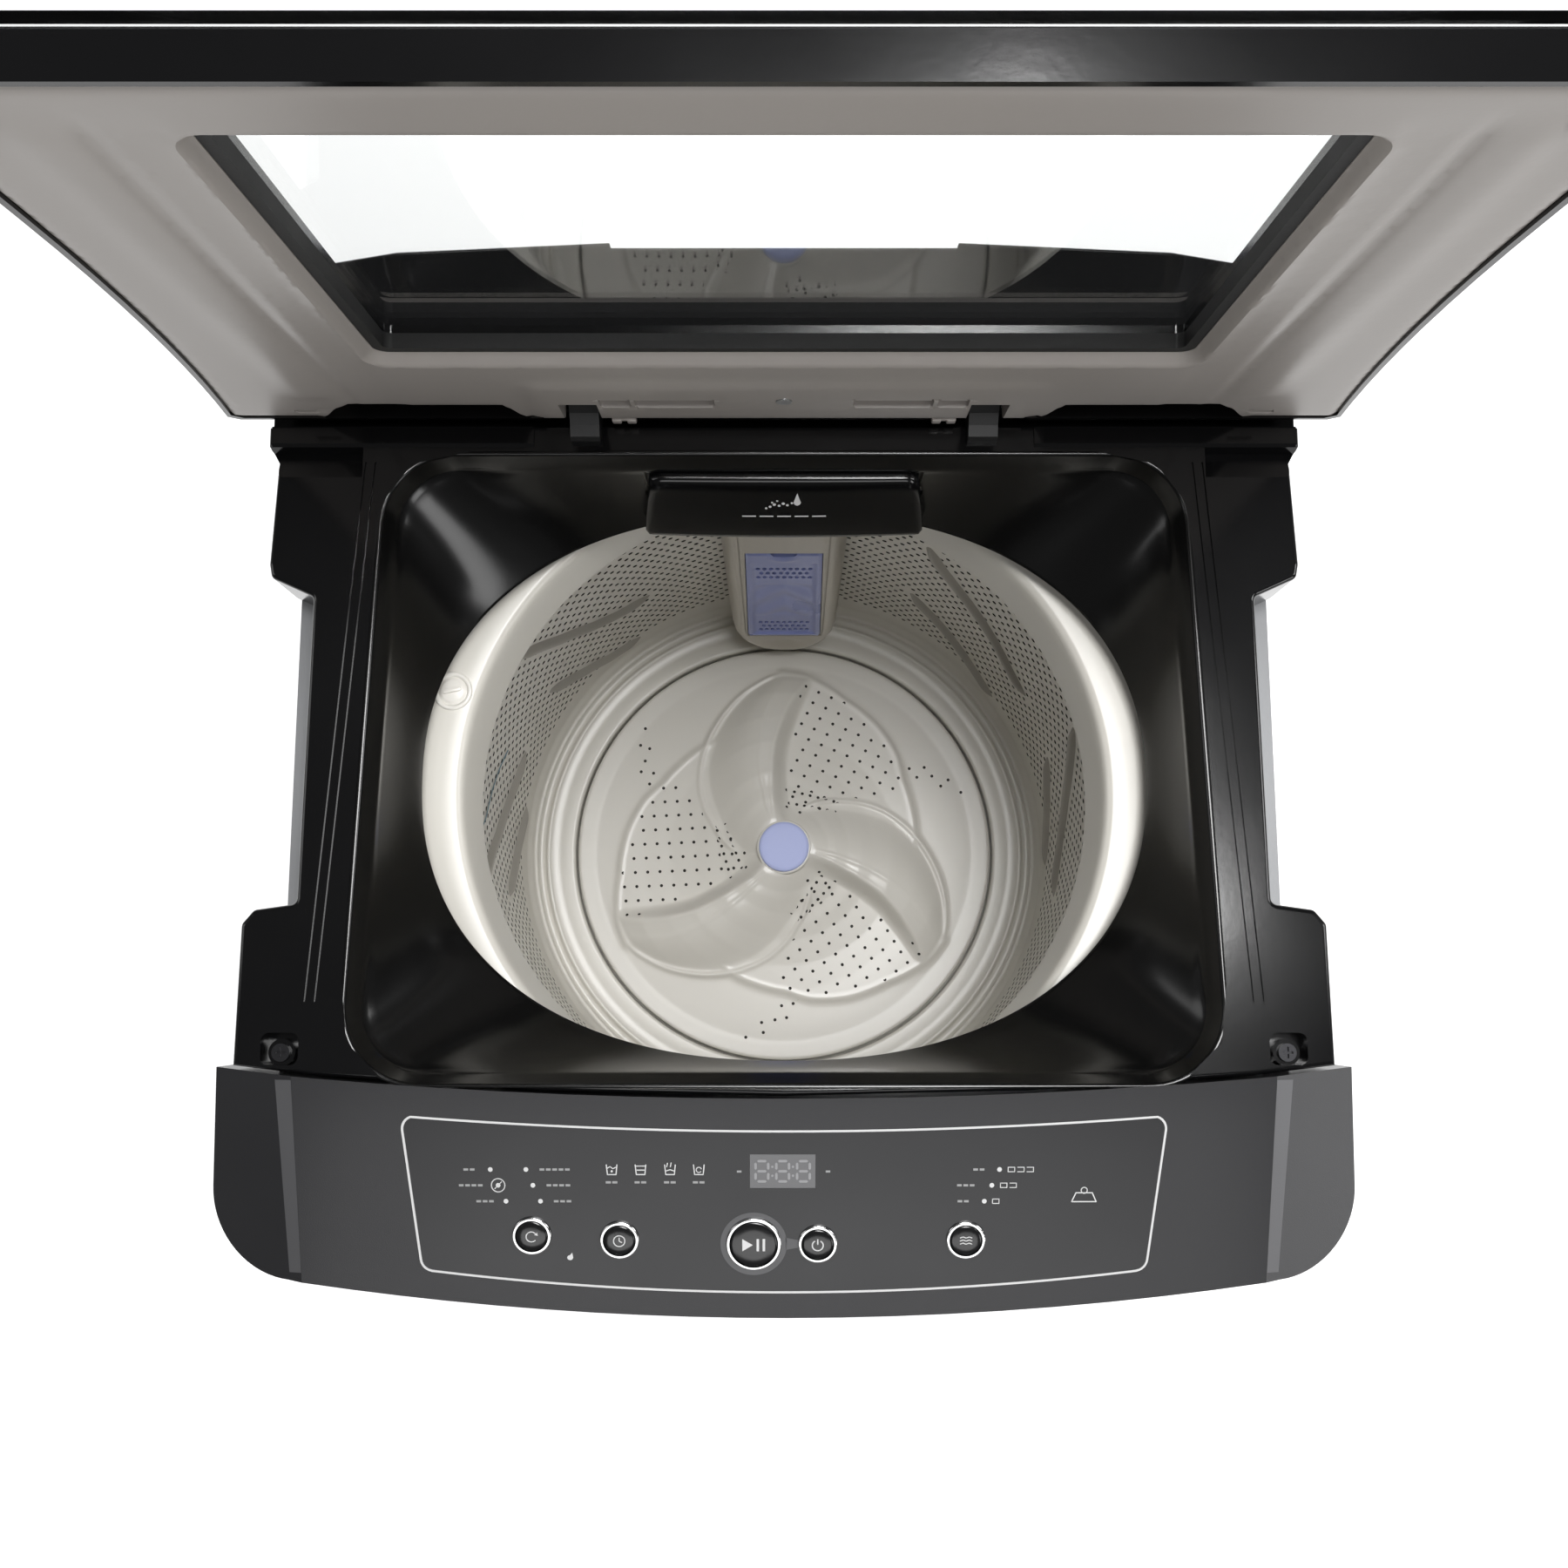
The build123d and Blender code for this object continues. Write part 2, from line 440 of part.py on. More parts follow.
outlet = cyl_y(15, -205, 120, 240, 277.6) + cyl_y(20, -205, 120, CAB_Y1 + SHEET, CAB_Y1 + 5)
outlet -= cyl_y(12, -205, 120, 230, 290)
put("drain_outlet", outlet)

# ---------------------------------------------------------------- outer tub, hanging on the rods
tub = turned([(24, TUB_Z0), (TUB_R - 22, TUB_Z0), (TUB_R + TUB_T, TUB_Z0 + 26), (TUB_R + TUB_T, TUB_Z1),
              (TUB_R, TUB_Z1), (TUB_R, TUB_Z0 + 28), (TUB_R - 24, TUB_Z0 + 4), (24, TUB_Z0 + 4)])
EAR_Z0, EAR_Z1 = 535.0, 547.0
ears = None
for rx, ry in ROD:
    d = math.hypot(rx, ry - TY)
    ux, uy = rx / d, (ry - TY) / d
    px, py = -uy, ux
    r0 = TUB_R + 1.0

    def at(a, b):
        return (ux * a + px * b, TY + uy * a + py * b)
    ear = prism([at(r0 - 4, 34), at(d + 4, 15), at(d + 12, 5), at(d + 12, -5), at(d + 4, -15), at(r0 - 4, -34)], EAR_Z0, EAR_Z1)
    ear += prism([at(r0, 4), at(d - 14, 4), at(d - 14, -4), at(r0, -4)], EAR_Z1, EAR_Z1 + 40)
    ear -= cyl(9.0, rx, ry, 500, 620)
    ears = ear if ears is None else ears + ear
tub += ears - cyl(TUB_R + 0.5, 0, TY, 500, 700)
tub -= cyl(14.0, 128, -86, 430, 450)
put("outer_tub", tub)
put("tub_cover", turned([(207, 851.4), (TUB_R - 4, 851.4), (TUB_R - 4, TUB_Z1), (TUB_R + TUB_T + 0.3, TUB_Z1), (TUB_R + TUB_T + 0.3, 839),
                         (TUB_R + TUB_T + 2.8, 839), (TUB_R + TUB_T + 2.8, 854), (207, 854)]))
put("tub_seal", ring(23.9, 15.6, 0, TY, TUB_Z0 - 1, TUB_Z0 + 7))
SPR_R, SPR_W = 12.0, 1.8
SPR_Z0, SPR_Z1 = ROD_Z0 + SPR_W + .05, EAR_Z0 - SPR_W - .05
helix = Helix(pitch=(SPR_Z1 - SPR_Z0) / 8.0, height=SPR_Z1 - SPR_Z0, radius=SPR_R)
coil = sweep(Plane(origin=helix @ 0, z_dir=helix % 0) * Circle(SPR_W), path=helix, is_frenet=True)
put("suspension_springs", *[Pos(rx, ry, SPR_Z0) * coil for rx, ry in ROD])

plate = rrect(-178, 96, TY - 92, TY + 158, TUB_Z0 - 3.2, TUB_Z0, 24)
plate -= cyl(40, 0, TY, 420, 450)
plate -= cyl(50, MX, MY, 420, 450)
put("mounting_plate", plate)
gear = cyl(54, 0, TY, 361, 433) + cyl(62, 0, TY, 432.8, TUB_Z0 - 3.2) - cyl(25.9, 0, TY, 340, 450)
put("gearcase", gear)
put("shaft_bearings", ring(25.9, 15.05, 0, TY, 419, 433), ring(25.9, 15.05, 0, TY, 363, 375))
motor = cyl(60, MX, MY, 353, 427) + cyl(44, MX, MY, 427, 433)
for a in (45, 135, 225, 315):
    motor += cyl(7, MX + 64 * math.cos(math.radians(a)), MY + 64 * math.sin(math.radians(a)), 417, TUB_Z0 - 3.2)
motor -= cyl(6.05, MX, MY, 330, 428)
put("motor", motor)


def vee(r, z0, z1, groove=8.0):
    zc = (z0 + z1) / 2
    return [(r, z0), (r, z0 + 2.2), (r - groove, zc - 3.0), (r - groove, zc + 3.0), (r, z1 - 2.2), (r, z1)]


put("drive_pulley", turned([(8.0, PZ0 + 4), (48, PZ0 + 4), (54, PZ0)] + vee(BIG_R, PZ0, PZ1) + [(54, PZ1), (48, PZ1 - 4), (24, PZ1 - 4), (24, 357), (8.0, 357)]),
    Pos(0, TY, PZ0 - 6) * (extrude(RegularPolygon(13, 6), 9.9) - cyl(8.0, 0, 0, -1, 20)))
put("motor_rotor", turned([(0, PZ0)] + vee(SMALL_R, PZ0, PZ1) + [(10, PZ1), (10, 347), (6.0, 347), (6.0, 425), (0, 425)], y=MY, x=MX))


def belt_face(g):
    r1, r2 = BIG_R - 8.0 + g, SMALL_R - 8.0 + g
    dx, dy = MX, MY - TY
    d, a = math.hypot(dx, dy), math.atan2(dy, dx)
    b = math.acos((r1 - r2) / d)

    def on(cx, cy, r, t):
        return (cx + r * math.cos(t), cy + r * math.sin(t))
    p1, p2 = on(0, TY, r1, a + b), on(0, TY, r1, a - b)
    q1, q2 = on(MX, MY, r2, a + b), on(MX, MY, r2, a - b)
    return make_face(Curve() + [ThreePointArc(p1, on(0, TY, r1, a + math.pi), p2), Line(p2, q2),
                                ThreePointArc(q2, on(MX, MY, r2, a), q1), Line(q1, p1)])


put("drive_belt", prism(belt_face(6.6), 329.6, 334.4) - prism(belt_face(0.6), 320, 345))

vx, vy = 128.0, -86.0
dv = cyl(13.9, vx, vy, 420, 444) + cyl(22, vx, vy, 387, TUB_Z0) + cyl_x(13, vy, 401, vx, vx + 46)
dv -= cyl_x(10.5, vy, 401, vx, vx + 50)
dv -= cyl(10.5, vx, vy, 395, 450)
put("drain_valve", dv)
put("drain_actuator", box(20, 62, -150, -106, 401, TUB_Z0), box(62.1, 102, -112, -108, 407, 411) + box(102, 105.5, -112, -84, 401, 417))
hline = FilletPolyline((vx + 46.1, vy, 401), (214, vy, 401), (214, vy, 300), (214, 190, 120), (-205, 190, 120), (-205, 239.9, 120), radius=24)
sect = Plane(origin=hline @ 0, z_dir=hline % 0)
put("drain_hose", sweep(sect * Circle(13), path=hline) - sweep(sect * Circle(10.5), path=hline))

# ---------------------------------------------------------------- drum
put("basket_wall", ring(BASK_R + BASK_T, BASK_R, 0, TY, 497, 835))
bring = turned([(RING_RI0, RING_Z0), (RING_RI, RING_Z1 - 5), (RING_RI + 2, RING_Z1 - 1.5), (RING_RI + 6, RING_Z1), (RING_RO - 6, RING_Z1),
                (RING_RO, RING_Z1 - 7), (RING_RO, RING_Z0)])
bring -= ring(BASK_R + BASK_T, BASK_R, 0, TY, RING_Z0 - 1, 835)
PLUG = math.radians(163.5)
plug_x, plug_y = 190 * math.cos(PLUG), TY + 190 * math.sin(PLUG)
bring -= cyl(7.5, plug_x, plug_y, RING_Z1 - 2.5, RING_Z1 + 1)
put("balance_ring", bring)
put("ring_plug", cyl(7.4, plug_x, plug_y, RING_Z1 - 2.5, RING_Z1 - 0.6) + box(plug_x - 5, plug_x + 5, plug_y - 1.2, plug_y + 1.2, RING_Z1 - 0.6, RING_Z1 + 0.8))
bowl = turned([(22, 460.5), (120, 460.5), (150, 463), (170, 471), (196, 477), (206, 483), (206, 497), (BASK_R - 0.0, 497), (201, 494),
               (198.5, 490), (197, PUL_Z), (194.5, 484), (188.5, 484), (186, PUL_Z), (168, PUL_Z), (165, 485.5), (165, 474.5),
               (150, 469), (120, 465), (22, 465)])
put("basket_base", bowl)
flg = cyl(60, 0, TY, 454, 460.5) + cyl(24, 0, TY, 448, 454)
for a in (90, 210, 330):
    flg += Pos(0, TY, 0) * Rot(0, 0, a) * box(40, 118, -17, 17, 455, 460.5)
flg -= cyl(15.0, 0, TY, 430, 470)
put("spin_shaft", flg, ring(15.0, 8.05, 0, TY, 361, 465))

# lint filter housing on the drum wall, and its cassette
FY0, FZ0, FLEAN = 151.0, 560.0, 0.0432
def fy(z):
    return FY0 + FLEAN * (z - FZ0)


spine = prism_x([(fy(806), 806), (fy(560), 560), (fy(524), 524), (151.5, 513), (158, 507), (200, 507), (200, 806)], -38, 38)
spine = spine & prism_y([(-38, 806), (-38, 566), (-34, 544), (-24, 524), (-9, 513), (9, 513), (24, 524), (34, 544), (38, 566), (38, 806)], 120, 220)
spine = spine & cyl(BASK_R, 0, TY, 400, 900)
spine = soften(spine, [e for e in spine.edges() if e.center().Y < 165 and abs(abs(e.center().X) - 38) < 0.5 and e.length > 60], 8)
cup = prism_x([(fy(800) + 3.0, 803), (fy(520) + 3.0, 520), (158, 513), (220, 513), (220, 803)], -35, 35)
CZ0, CZ1, CX0, CX1 = 561.0, 745.0, 27.0, 24.6
def cassette(g, d0, d1):
    col = prism_y([(-CX0 - g, CZ0 - g), (CX0 + g, CZ0 - g), (CX1 + g, CZ1 + g), (-CX1 - g, CZ1 + g)], 100, 230)
    return col & prism_x([(fy(500) + d0, 500), (fy(820) + d0, 820), (fy(820) + d1, 820), (fy(500) + d1, 500)], -60, 60)


spine -= cup & cyl(BASK_R - 2.5, 0, TY, 400, 900)
spine -= cassette(0.5, -30, 30)
put("filter_housing", spine)
cas = cassette(0, -0.6, 11.0) - cassette(-3.0, 2.0, 40)
TILT_Y, TILT_Z = 153.44, 564.0         # the cassette rolls out about its rounded lower edge
cas -= box(-30, 30, 148, TILT_Y, 558, TILT_Z) - cyl_x(2.9, TILT_Y, TILT_Z, -31, 31)
put("lint_filter", cas, cassette(-3.1, 8.0, 8.8))

# ---------------------------------------------------------------- wash plate
wp = turned([(0, 481), (30, 481), (60, 479), (120, 476), (PUL_R - 3, 476.5), (PUL_R, 479), (PUL_R, PUL_Z - 1.5), (PUL_R - 1.5, PUL_Z),
             (148, PUL_Z - 1.0), (110, PUL_Z + 0.5), (70, PUL_Z + 7), (34, PUL_Z + 20), (22, HUB_Z - 4), (21.5, HUB_Z), (0, HUB_Z)])
crown = turned([(10, 478), (146, 478), (146, PUL_Z + 5), (120, PUL_Z + 15), (60, PUL_Z + 24), (22, HUB_Z - 1), (10, HUB_Z - 1)])
BLADE = [(16, 0.0, 9), (30, 2, 13), (50, 9, 18), (72, 19, 22), (95, 31, 23), (115, 43, 20), (130, 53, 14), (142, 61, 5)]
for k in range(3):
    left = [(r * math.cos(math.radians(a) + w / max(r, 22)), r * math.sin(math.radians(a) + w / max(r, 22))) for r, a, w in BLADE]
    rght = [(r * math.cos(math.radians(a) - w / max(r, 22)), r * math.sin(math.radians(a) - w / max(r, 22))) for r, a, w in reversed(BLADE)]
    flat = Rot(0, 0, 120 * k + 105) * Rot(180, 0, 0) * plan(left + rght)
    flat = Pos(0, TY, 0) * flat
    blade = extrude(Pos(0, 0, 478) * flat, amount=60, dir=(0, 0, 1))
    wp = wp + (blade & crown)
wp -= cyl(17.5, 0, TY, HUB_Z - 9, HUB_Z + 5)
wp -= cyl(3.3, 0, TY, 400, HUB_Z)
wp -= cyl(8.0, 0, TY, 470, 497)
put("pulsator", wp)
screw = [cyl(7, 0, TY, HUB_Z - 9, HUB_Z - 4.6) + cyl(3.2, 0, TY, 485, HUB_Z - 9)]
capd = cyl(19.4, 0, TY, HUB_Z, HUB_Z + 4.0) + cyl(17.4, 0, TY, HUB_Z - 4.4, HUB_Z)
capd = soften(capd, [capd.edges().filter_by(GeomType.CIRCLE).sort_by(Axis.Z)[-1]], 3.0)
capd -= cyl(15.4, 0, TY, HUB_Z - 5, HUB_Z + 1.5)
put("pulsator_cap", capd)
put("wash_shaft", *screw, cyl(8.0, 0, TY, 312, 496.9) - cyl(3.25, 0, TY, 480, 500))

# ---------------------------------------------------------------- lid
# Drawn closed about its hinge (x, y back from the hinge axis, z up), then opened.
def lidpos(shape):
    return Pos(0, LID_HY, LID_HZ) * Rot(-LID_OPEN, 0, 0) * shape


def lid_plate(g, back, r, z0, z1):
    """The lid's outline drawn in by g: its sides flare towards the hinge."""
    y0, xf, xb = -LID_L + g, LID_X - g, LID_X + 18.5 - g
    k = r * 0.29289
    c = 5.0
    out = Curve() + [
        Line((-xf + r, y0), (xf - r, y0)),
        ThreePointArc((xf - r, y0), (xf - k, y0 + k), (xf, y0 + r)),
        Line((xf, y0 + r), (xf, -240)),
        ThreePointArc((xf, -240), (xf + 4.6, -118), (xb, back - c)),
        Line((xb, back - c), (xb - c, back)),
        Line((xb - c, back), (-xb + c, back)),
        Line((-xb + c, back), (-xb, back - c)),
        ThreePointArc((-xb, back - c), (-xf - 4.6, -118), (-xf, -240)),
        Line((-xf, -240), (-xf, y0 + r)),
        ThreePointArc((-xf, y0 + r), (-xf + k, y0 + k), (-xf + r, y0))]
    return extrude(Pos(0, 0, z0) * make_face(out), amount=z1 - z0, dir=(0, 0, 1))


put("lid_glass", lidpos(lid_plate(0, 8.0, 12, GLASS0, GLASS1)))
frame_ = lid_plate(1.2, 6.4, 10, -11.0, GLASS0)
frame_ -= lid_plate(4.0, 3.6, 8, -20, 1.5)
frame_ -= rrect(-WIN_X + 5, WIN_X - 5, WIN_Y1 + 5, WIN_Y0 - 5, -30, 20, 4)
liner = lid_plate(4.2, 3.4, 8, -11.0, 1.4)
liner += box(-128, 128, -58, 3.4, -12.3, -10.9)
liner -= rrect(-WIN_X, WIN_X, WIN_Y1, WIN_Y0, -30, 20, 6)
pins = []
for s in (-1, 1):
    liner -= rrect(min(s * 134, s * 224), max(s * 134, s * 224), -17, 30, -30, -4.0, 5)
    knuckle = box(s * 80, s * 124, -7, 6.3, -11, 4.9)
    frame_ -= box(s * 79.9, s * 124.1, -7.1, 20, -30, 4.95)
    liner += knuckle
    frame_ -= box(s * 92.5, s * 111.5, -24, 20, -30, 4.95)
    liner -= box(s * 92.5, s * 111.5, -24, 20, -30, 20)
    liner -= box(s * 91.0, s * 75.5, -31, -19, -30, -5)
    liner -= box(s * 73.5, s * 34, -31, -19, -30, -5)
    liner += box(s * 88.0, s * 75.5, 3.4, 8.0, -13.0, -5.0)
    frame_ -= box(s * 88.1, s * 75.4, 0, 20, -30, -4.9)
    liner -= rrect(min(s * 234, s * 246), max(s * 234, s * 246), -9.5, -5.5, -30, -6, 1.8)
    liner -= cyl_x(3.0, 0, 0, s * 82, s * 122)
    pins.append(lidpos(cyl_x(3.0, 0, 0, s * 82.1, s * 121.9)))
liner -= cyl(1.8, 0, -30, -40, 1)
put("lid_frame", lidpos(frame_))
put("lid_liner", lidpos(liner))

put("lid_rubbers", lidpos(rrect(-WIN_X + .1, WIN_X - .1, WIN_Y1 + .1, WIN_Y0 - .1, -5.5, 1.45, 6) - rrect(-WIN_X + 5, WIN_X - 5, WIN_Y1 + 5, WIN_Y0 - 5, -20, 20, 4)),
    *[lidpos(cyl(6, s * 242, -LID_L + 24, -12.7, -11.0)) for s in (-1, 1)])
put("lid_hardware", *pins, lidpos(cyl(4.0, 0, -30, -12.9, -12.3) + cyl(1.75, 0, -30, -12.3, 0.5)))

# ---------------------------------------------------------------- write
for name, solids in parts.items():
    shape = solids[0] if len(solids) == 1 else Compound(children=solids)
    export_step(shape, f"parts/{name}.step")
print(len(parts), "nodes")
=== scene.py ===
import bpy
import bmesh
import json
import math
import random
import numpy as np
from mathutils import Vector, Matrix
from mathutils.geometry import delaunay_2d_cdt

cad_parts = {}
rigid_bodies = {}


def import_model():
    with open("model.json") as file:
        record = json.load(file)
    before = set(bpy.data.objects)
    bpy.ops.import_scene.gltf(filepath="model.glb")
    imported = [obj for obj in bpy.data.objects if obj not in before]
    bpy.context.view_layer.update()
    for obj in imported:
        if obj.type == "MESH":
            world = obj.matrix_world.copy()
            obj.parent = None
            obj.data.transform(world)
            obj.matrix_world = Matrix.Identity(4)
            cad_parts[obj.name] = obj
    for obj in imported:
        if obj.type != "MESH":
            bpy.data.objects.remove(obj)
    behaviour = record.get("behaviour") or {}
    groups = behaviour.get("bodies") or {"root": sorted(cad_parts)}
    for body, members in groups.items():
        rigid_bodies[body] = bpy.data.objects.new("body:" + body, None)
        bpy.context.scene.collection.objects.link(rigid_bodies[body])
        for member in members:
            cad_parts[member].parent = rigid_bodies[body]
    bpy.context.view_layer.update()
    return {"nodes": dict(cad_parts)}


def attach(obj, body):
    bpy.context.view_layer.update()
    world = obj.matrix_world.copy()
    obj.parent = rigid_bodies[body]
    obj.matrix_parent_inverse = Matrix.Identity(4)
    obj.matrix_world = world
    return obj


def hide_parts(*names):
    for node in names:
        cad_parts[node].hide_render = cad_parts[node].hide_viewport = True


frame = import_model()
NODES = frame["nodes"]
RNG = random.Random(7)

# ------------------------------------------------------------------ numbers shared with the CAD (mm)
TY = -6.0
DECK_Z = 925.0
FUN_Z = 862.0
LC = -3.0
SLOPE = math.radians(17.0)
PAN_Y, PAN_Z = -160.0, 927.6
LID_HY, LID_HZ, LID_OPEN, LID_L = 184.0, 938.0, 84.0, 335.0
PUL_Z, HUB_Z = 487.0, 520.0


def lin(r, g=None, b=None):
    """sRGB 0..255 to linear."""
    g = r if g is None else g
    b = r if b is None else b
    out = []
    for c in (r, g, b):
        c /= 255.0
        out.append(c / 12.92 if c <= 0.04045 else ((c + 0.055) / 1.055) ** 2.4)
    return (*out, 1.0)


# ------------------------------------------------------------------ materials
def material(name, color, rough=0.4, metallic=0.0, vary=0.04, vary_scale=18.0, bump=0.02, bump_scale=900.0,
             rough_vary=0.05, coat=0.0, coat_rough=0.05, flakes=0.0, specular=0.5, brushed=None, transmission=0.0,
             subsurface=0.0, emission=None):
    m = bpy.data.materials.new(name)
    m.use_nodes = True
    nt = m.node_tree
    nt.nodes.clear()
    out = nt.nodes.new("ShaderNodeOutputMaterial")
    b = nt.nodes.new("ShaderNodeBsdfPrincipled")
    nt.links.new(b.outputs[0], out.inputs[0])
    b.inputs["Metallic"].default_value = metallic
    b.inputs["Roughness"].default_value = rough
    b.inputs["Base Color"].default_value = color
    b.inputs["Specular IOR Level"].default_value = specular
    b.inputs["Coat Weight"].default_value = coat
    b.inputs["Coat Roughness"].default_value = coat_rough
    b.inputs["Transmission Weight"].default_value = transmission
    if subsurface:
        b.inputs["Subsurface Weight"].default_value = subsurface
        b.inputs["Subsurface Radius"].default_value = (0.004, 0.003, 0.002)
    if emission:
        b.inputs["Emission Color"].default_value = color
        b.inputs["Emission Strength"].default_value = emission
    tc = nt.nodes.new("ShaderNodeTexCoord")
    mp = nt.nodes.new("ShaderNodeMapping")
    nt.links.new(tc.outputs["Object"], mp.inputs[0])
    if brushed:
        mp.inputs["Scale"].default_value = brushed
    if vary:
        n = nt.nodes.new("ShaderNodeTexNoise")
        n.inputs["Scale"].default_value = vary_scale
        n.inputs["Detail"].default_value = 4
        nt.links.new(mp.outputs[0], n.inputs["Vector"])
        r = nt.nodes.new("ShaderNodeValToRGB")
        r.color_ramp.elements[0].position = 0.0
        r.color_ramp.elements[1].position = 1.0
        r.color_ramp.elements[0].color = tuple([c * (1 - vary) for c in color[:3]]) + (1,)
        r.color_ramp.elements[1].color = tuple([min(1, c * (1 + vary)) for c in color[:3]]) + (1,)
        nt.links.new(n.outputs["Fac"], r.inputs[0])
        nt.links.new(r.outputs[0], b.inputs["Base Color"])
        if rough_vary:
            mr = nt.nodes.new("ShaderNodeMapRange")
            mr.inputs[1].default_value = 0.0
            mr.inputs[2].default_value = 1.0
            mr.inputs[3].default_value = max(0.02, rough - rough_vary)
            mr.inputs[4].default_value = rough + rough_vary
            nt.links.new(n.outputs["Fac"], mr.inputs[0])
            nt.links.new(mr.outputs[0], b.inputs["Roughness"])
    if flakes:
        v = nt.nodes.new("ShaderNodeTexVoronoi")
        v.inputs["Scale"].default_value = 2200.0
        nt.links.new(mp.outputs[0], v.inputs["Vector"])
        bp = nt.nodes.new("ShaderNodeBump")
        bp.inputs["Strength"].default_value = flakes
        bp.inputs["Distance"].default_value = 0.0004
        nt.links.new(v.outputs["Distance"], bp.inputs["Height"])
        nt.links.new(bp.outputs[0], b.inputs["Normal"])
    elif bump:
        n2 = nt.nodes.new("ShaderNodeTexNoise")
        n2.inputs["Scale"].default_value = bump_scale
        n2.inputs["Detail"].default_value = 2
        nt.links.new(mp.outputs[0], n2.inputs["Vector"])
        bp = nt.nodes.new("ShaderNodeBump")
        bp.inputs["Strength"].default_value = bump
        bp.inputs["Distance"].default_value = 0.0005
        nt.links.new(n2.outputs["Fac"], bp.inputs["Height"])
        nt.links.new(bp.outputs[0], b.inputs["Normal"])
    return m


M = {
    "black": material("gloss_black", lin(10, 10, 11), rough=0.15, vary=0.06, bump=0.03, bump_scale=260, rough_vary=0.03),
    "funnel": material("funnel_black", lin(10, 10, 10), rough=0.2, vary=0.06, bump=0.03, bump_scale=220, rough_vary=0.03),
    "panel": material("graphite", lin(44, 44, 46), rough=0.4, metallic=0.35, vary=0.04, flakes=0.1, rough_vary=0.03, coat=0.2, coat_rough=0.14),
    "overlay": material("overlay_film", lin(29, 29, 31), rough=0.3, vary=0.02, bump=0.02, bump_scale=1500, rough_vary=0.03),
    "print": material("print_silver", lin(205, 205, 205), rough=0.45, vary=0.03, bump=0.0),
    "print_dim": material("print_grey", lin(150, 150, 150), rough=0.5, vary=0.03, bump=0.0),
    "display": material("display_grey", lin(84, 84, 86), rough=0.12, vary=0.03, bump=0.0),
    "segment": material("segment_grey", lin(132, 132, 134), rough=0.2, vary=0.03, bump=0.0),
    # edge: a lighter panel colour, a painted highlight along the rounded bevel at the end facets' crease
    "edge": material("panel_bevel_painted_highlight", lin(92, 92, 94), rough=0.42, metallic=0.35, vary=0.03, bump=0.0),
    "black_matte": material("satin_black", lin(11, 11, 12), rough=0.5, vary=0.06, bump=0.03, bump_scale=300),
    "halo": material("halo_grey", lin(74, 74, 76), rough=0.3, vary=0.03, bump=0.0),
    "chrome": material("chrome", lin(215, 215, 215), rough=0.12, metallic=1.0, vary=0.03, bump=0.01, rough_vary=0.03),
    "button": material("button_black", lin(20, 20, 21), rough=0.16, vary=0.05, bump=0.02, rough_vary=0.03),
    "drum": material("drum_plastic", lin(210, 207, 199), rough=0.3, vary=0.01, vary_scale=9, bump=0.02, bump_scale=350, rough_vary=0.012),
    # rib: the drum plastic made darker, painted shade along the pressed ribs
    "rib": material("drum_rib_painted_shade", lin(160, 156, 148), rough=0.34, vary=0.01, vary_scale=9, bump=0.02, bump_scale=350, rough_vary=0.012),
    "plate": material("wash_plate_plastic", lin(212, 209, 202), rough=0.31, vary=0.01, vary_scale=9, bump=0.015, bump_scale=300, rough_vary=0.012),
    "ring": material("balance_ring_plastic", lin(204, 201, 193), rough=0.3, vary=0.01, vary_scale=9, bump=0.02, bump_scale=300, rough_vary=0.03),
    "plug": material("plug_plastic", lin(220, 217, 210), rough=0.3, vary=0.03, bump=0.03, bump_scale=500),
    "spine": material("filter_housing_plastic", lin(182, 176, 165), rough=0.3, vary=0.015, bump=0.03, bump_scale=350, rough_vary=0.04),
    "cassette": material("cassette_blue", lin(140, 150, 206), rough=0.28, vary=0.03, bump=0.02, bump_scale=400, rough_vary=0.03),
    "cassette_dark": material("cassette_shadow", lin(26, 29, 56), rough=0.45, vary=0.06, bump=0.03),
    "cap": material("cap_blue", lin(180, 189, 232), rough=0.6, vary=0.02, bump=0.02, bump_scale=400),
    # hole: painted shade standing for the dark inside of the holes
    "hole": material("hole_painted_shade", lin(40, 37, 33), rough=0.8, vary=0.1, bump=0.0),
    "teal": material("teal_film", lin(40, 110, 130), rough=0.4, vary=0.08, bump=0.0),
    "liner": material("taupe_plastic", lin(166, 160, 155), rough=0.4, vary=0.015, vary_scale=9, bump=0.05, bump_scale=700, rough_vary=0.04),
    "rubber": material("rubber_black", lin(20, 20, 20), rough=0.62, vary=0.1, bump=0.1, bump_scale=600),
    "cabinet": material("cabinet_paint", lin(132, 133, 135), rough=0.4, metallic=0.25, vary=0.03, bump=0.06, bump_scale=520, rough_vary=0.04, coat=0.25),
    "steel": material("zinc_steel", lin(176, 178, 180), rough=0.34, metallic=1.0, vary=0.1, vary_scale=60, bump=0.08, bump_scale=300, rough_vary=0.08),
    "dark_steel": material("black_zinc", lin(48, 48, 50), rough=0.35, metallic=0.9, vary=0.1, bump=0.05),
    "cast": material("cast_alloy", lin(168, 168, 170), rough=0.5, metallic=0.9, vary=0.08, bump=0.3, bump_scale=260),
    "tub": material("tub_plastic", lin(196, 192, 182), rough=0.45, vary=0.04, bump=0.08, bump_scale=200),
    "grey": material("moulded_grey", lin(188, 187, 183), rough=0.42, vary=0.04, bump=0.06, bump_scale=420),
    "base": material("base_plastic", lin(52, 52, 54), rough=0.55, vary=0.06, bump=0.12, bump_scale=380),
    "motor": material("motor_paint", lin(44, 44, 46), rough=0.45, vary=0.08, bump=0.1, bump_scale=240),
    "board": material("board_green", lin(28, 92, 54), rough=0.4, vary=0.1, bump=0.05),
    "hose": material("hose_grey", lin(120, 121, 124), rough=0.5, vary=0.05, bump=0.08),
}
g = bpy.data.materials.new("clear_glass")
g.use_nodes = True
gb = g.node_tree.nodes["Principled BSDF"]
gb.inputs["Base Color"].default_value = (0.97, 0.985, 0.98, 1)
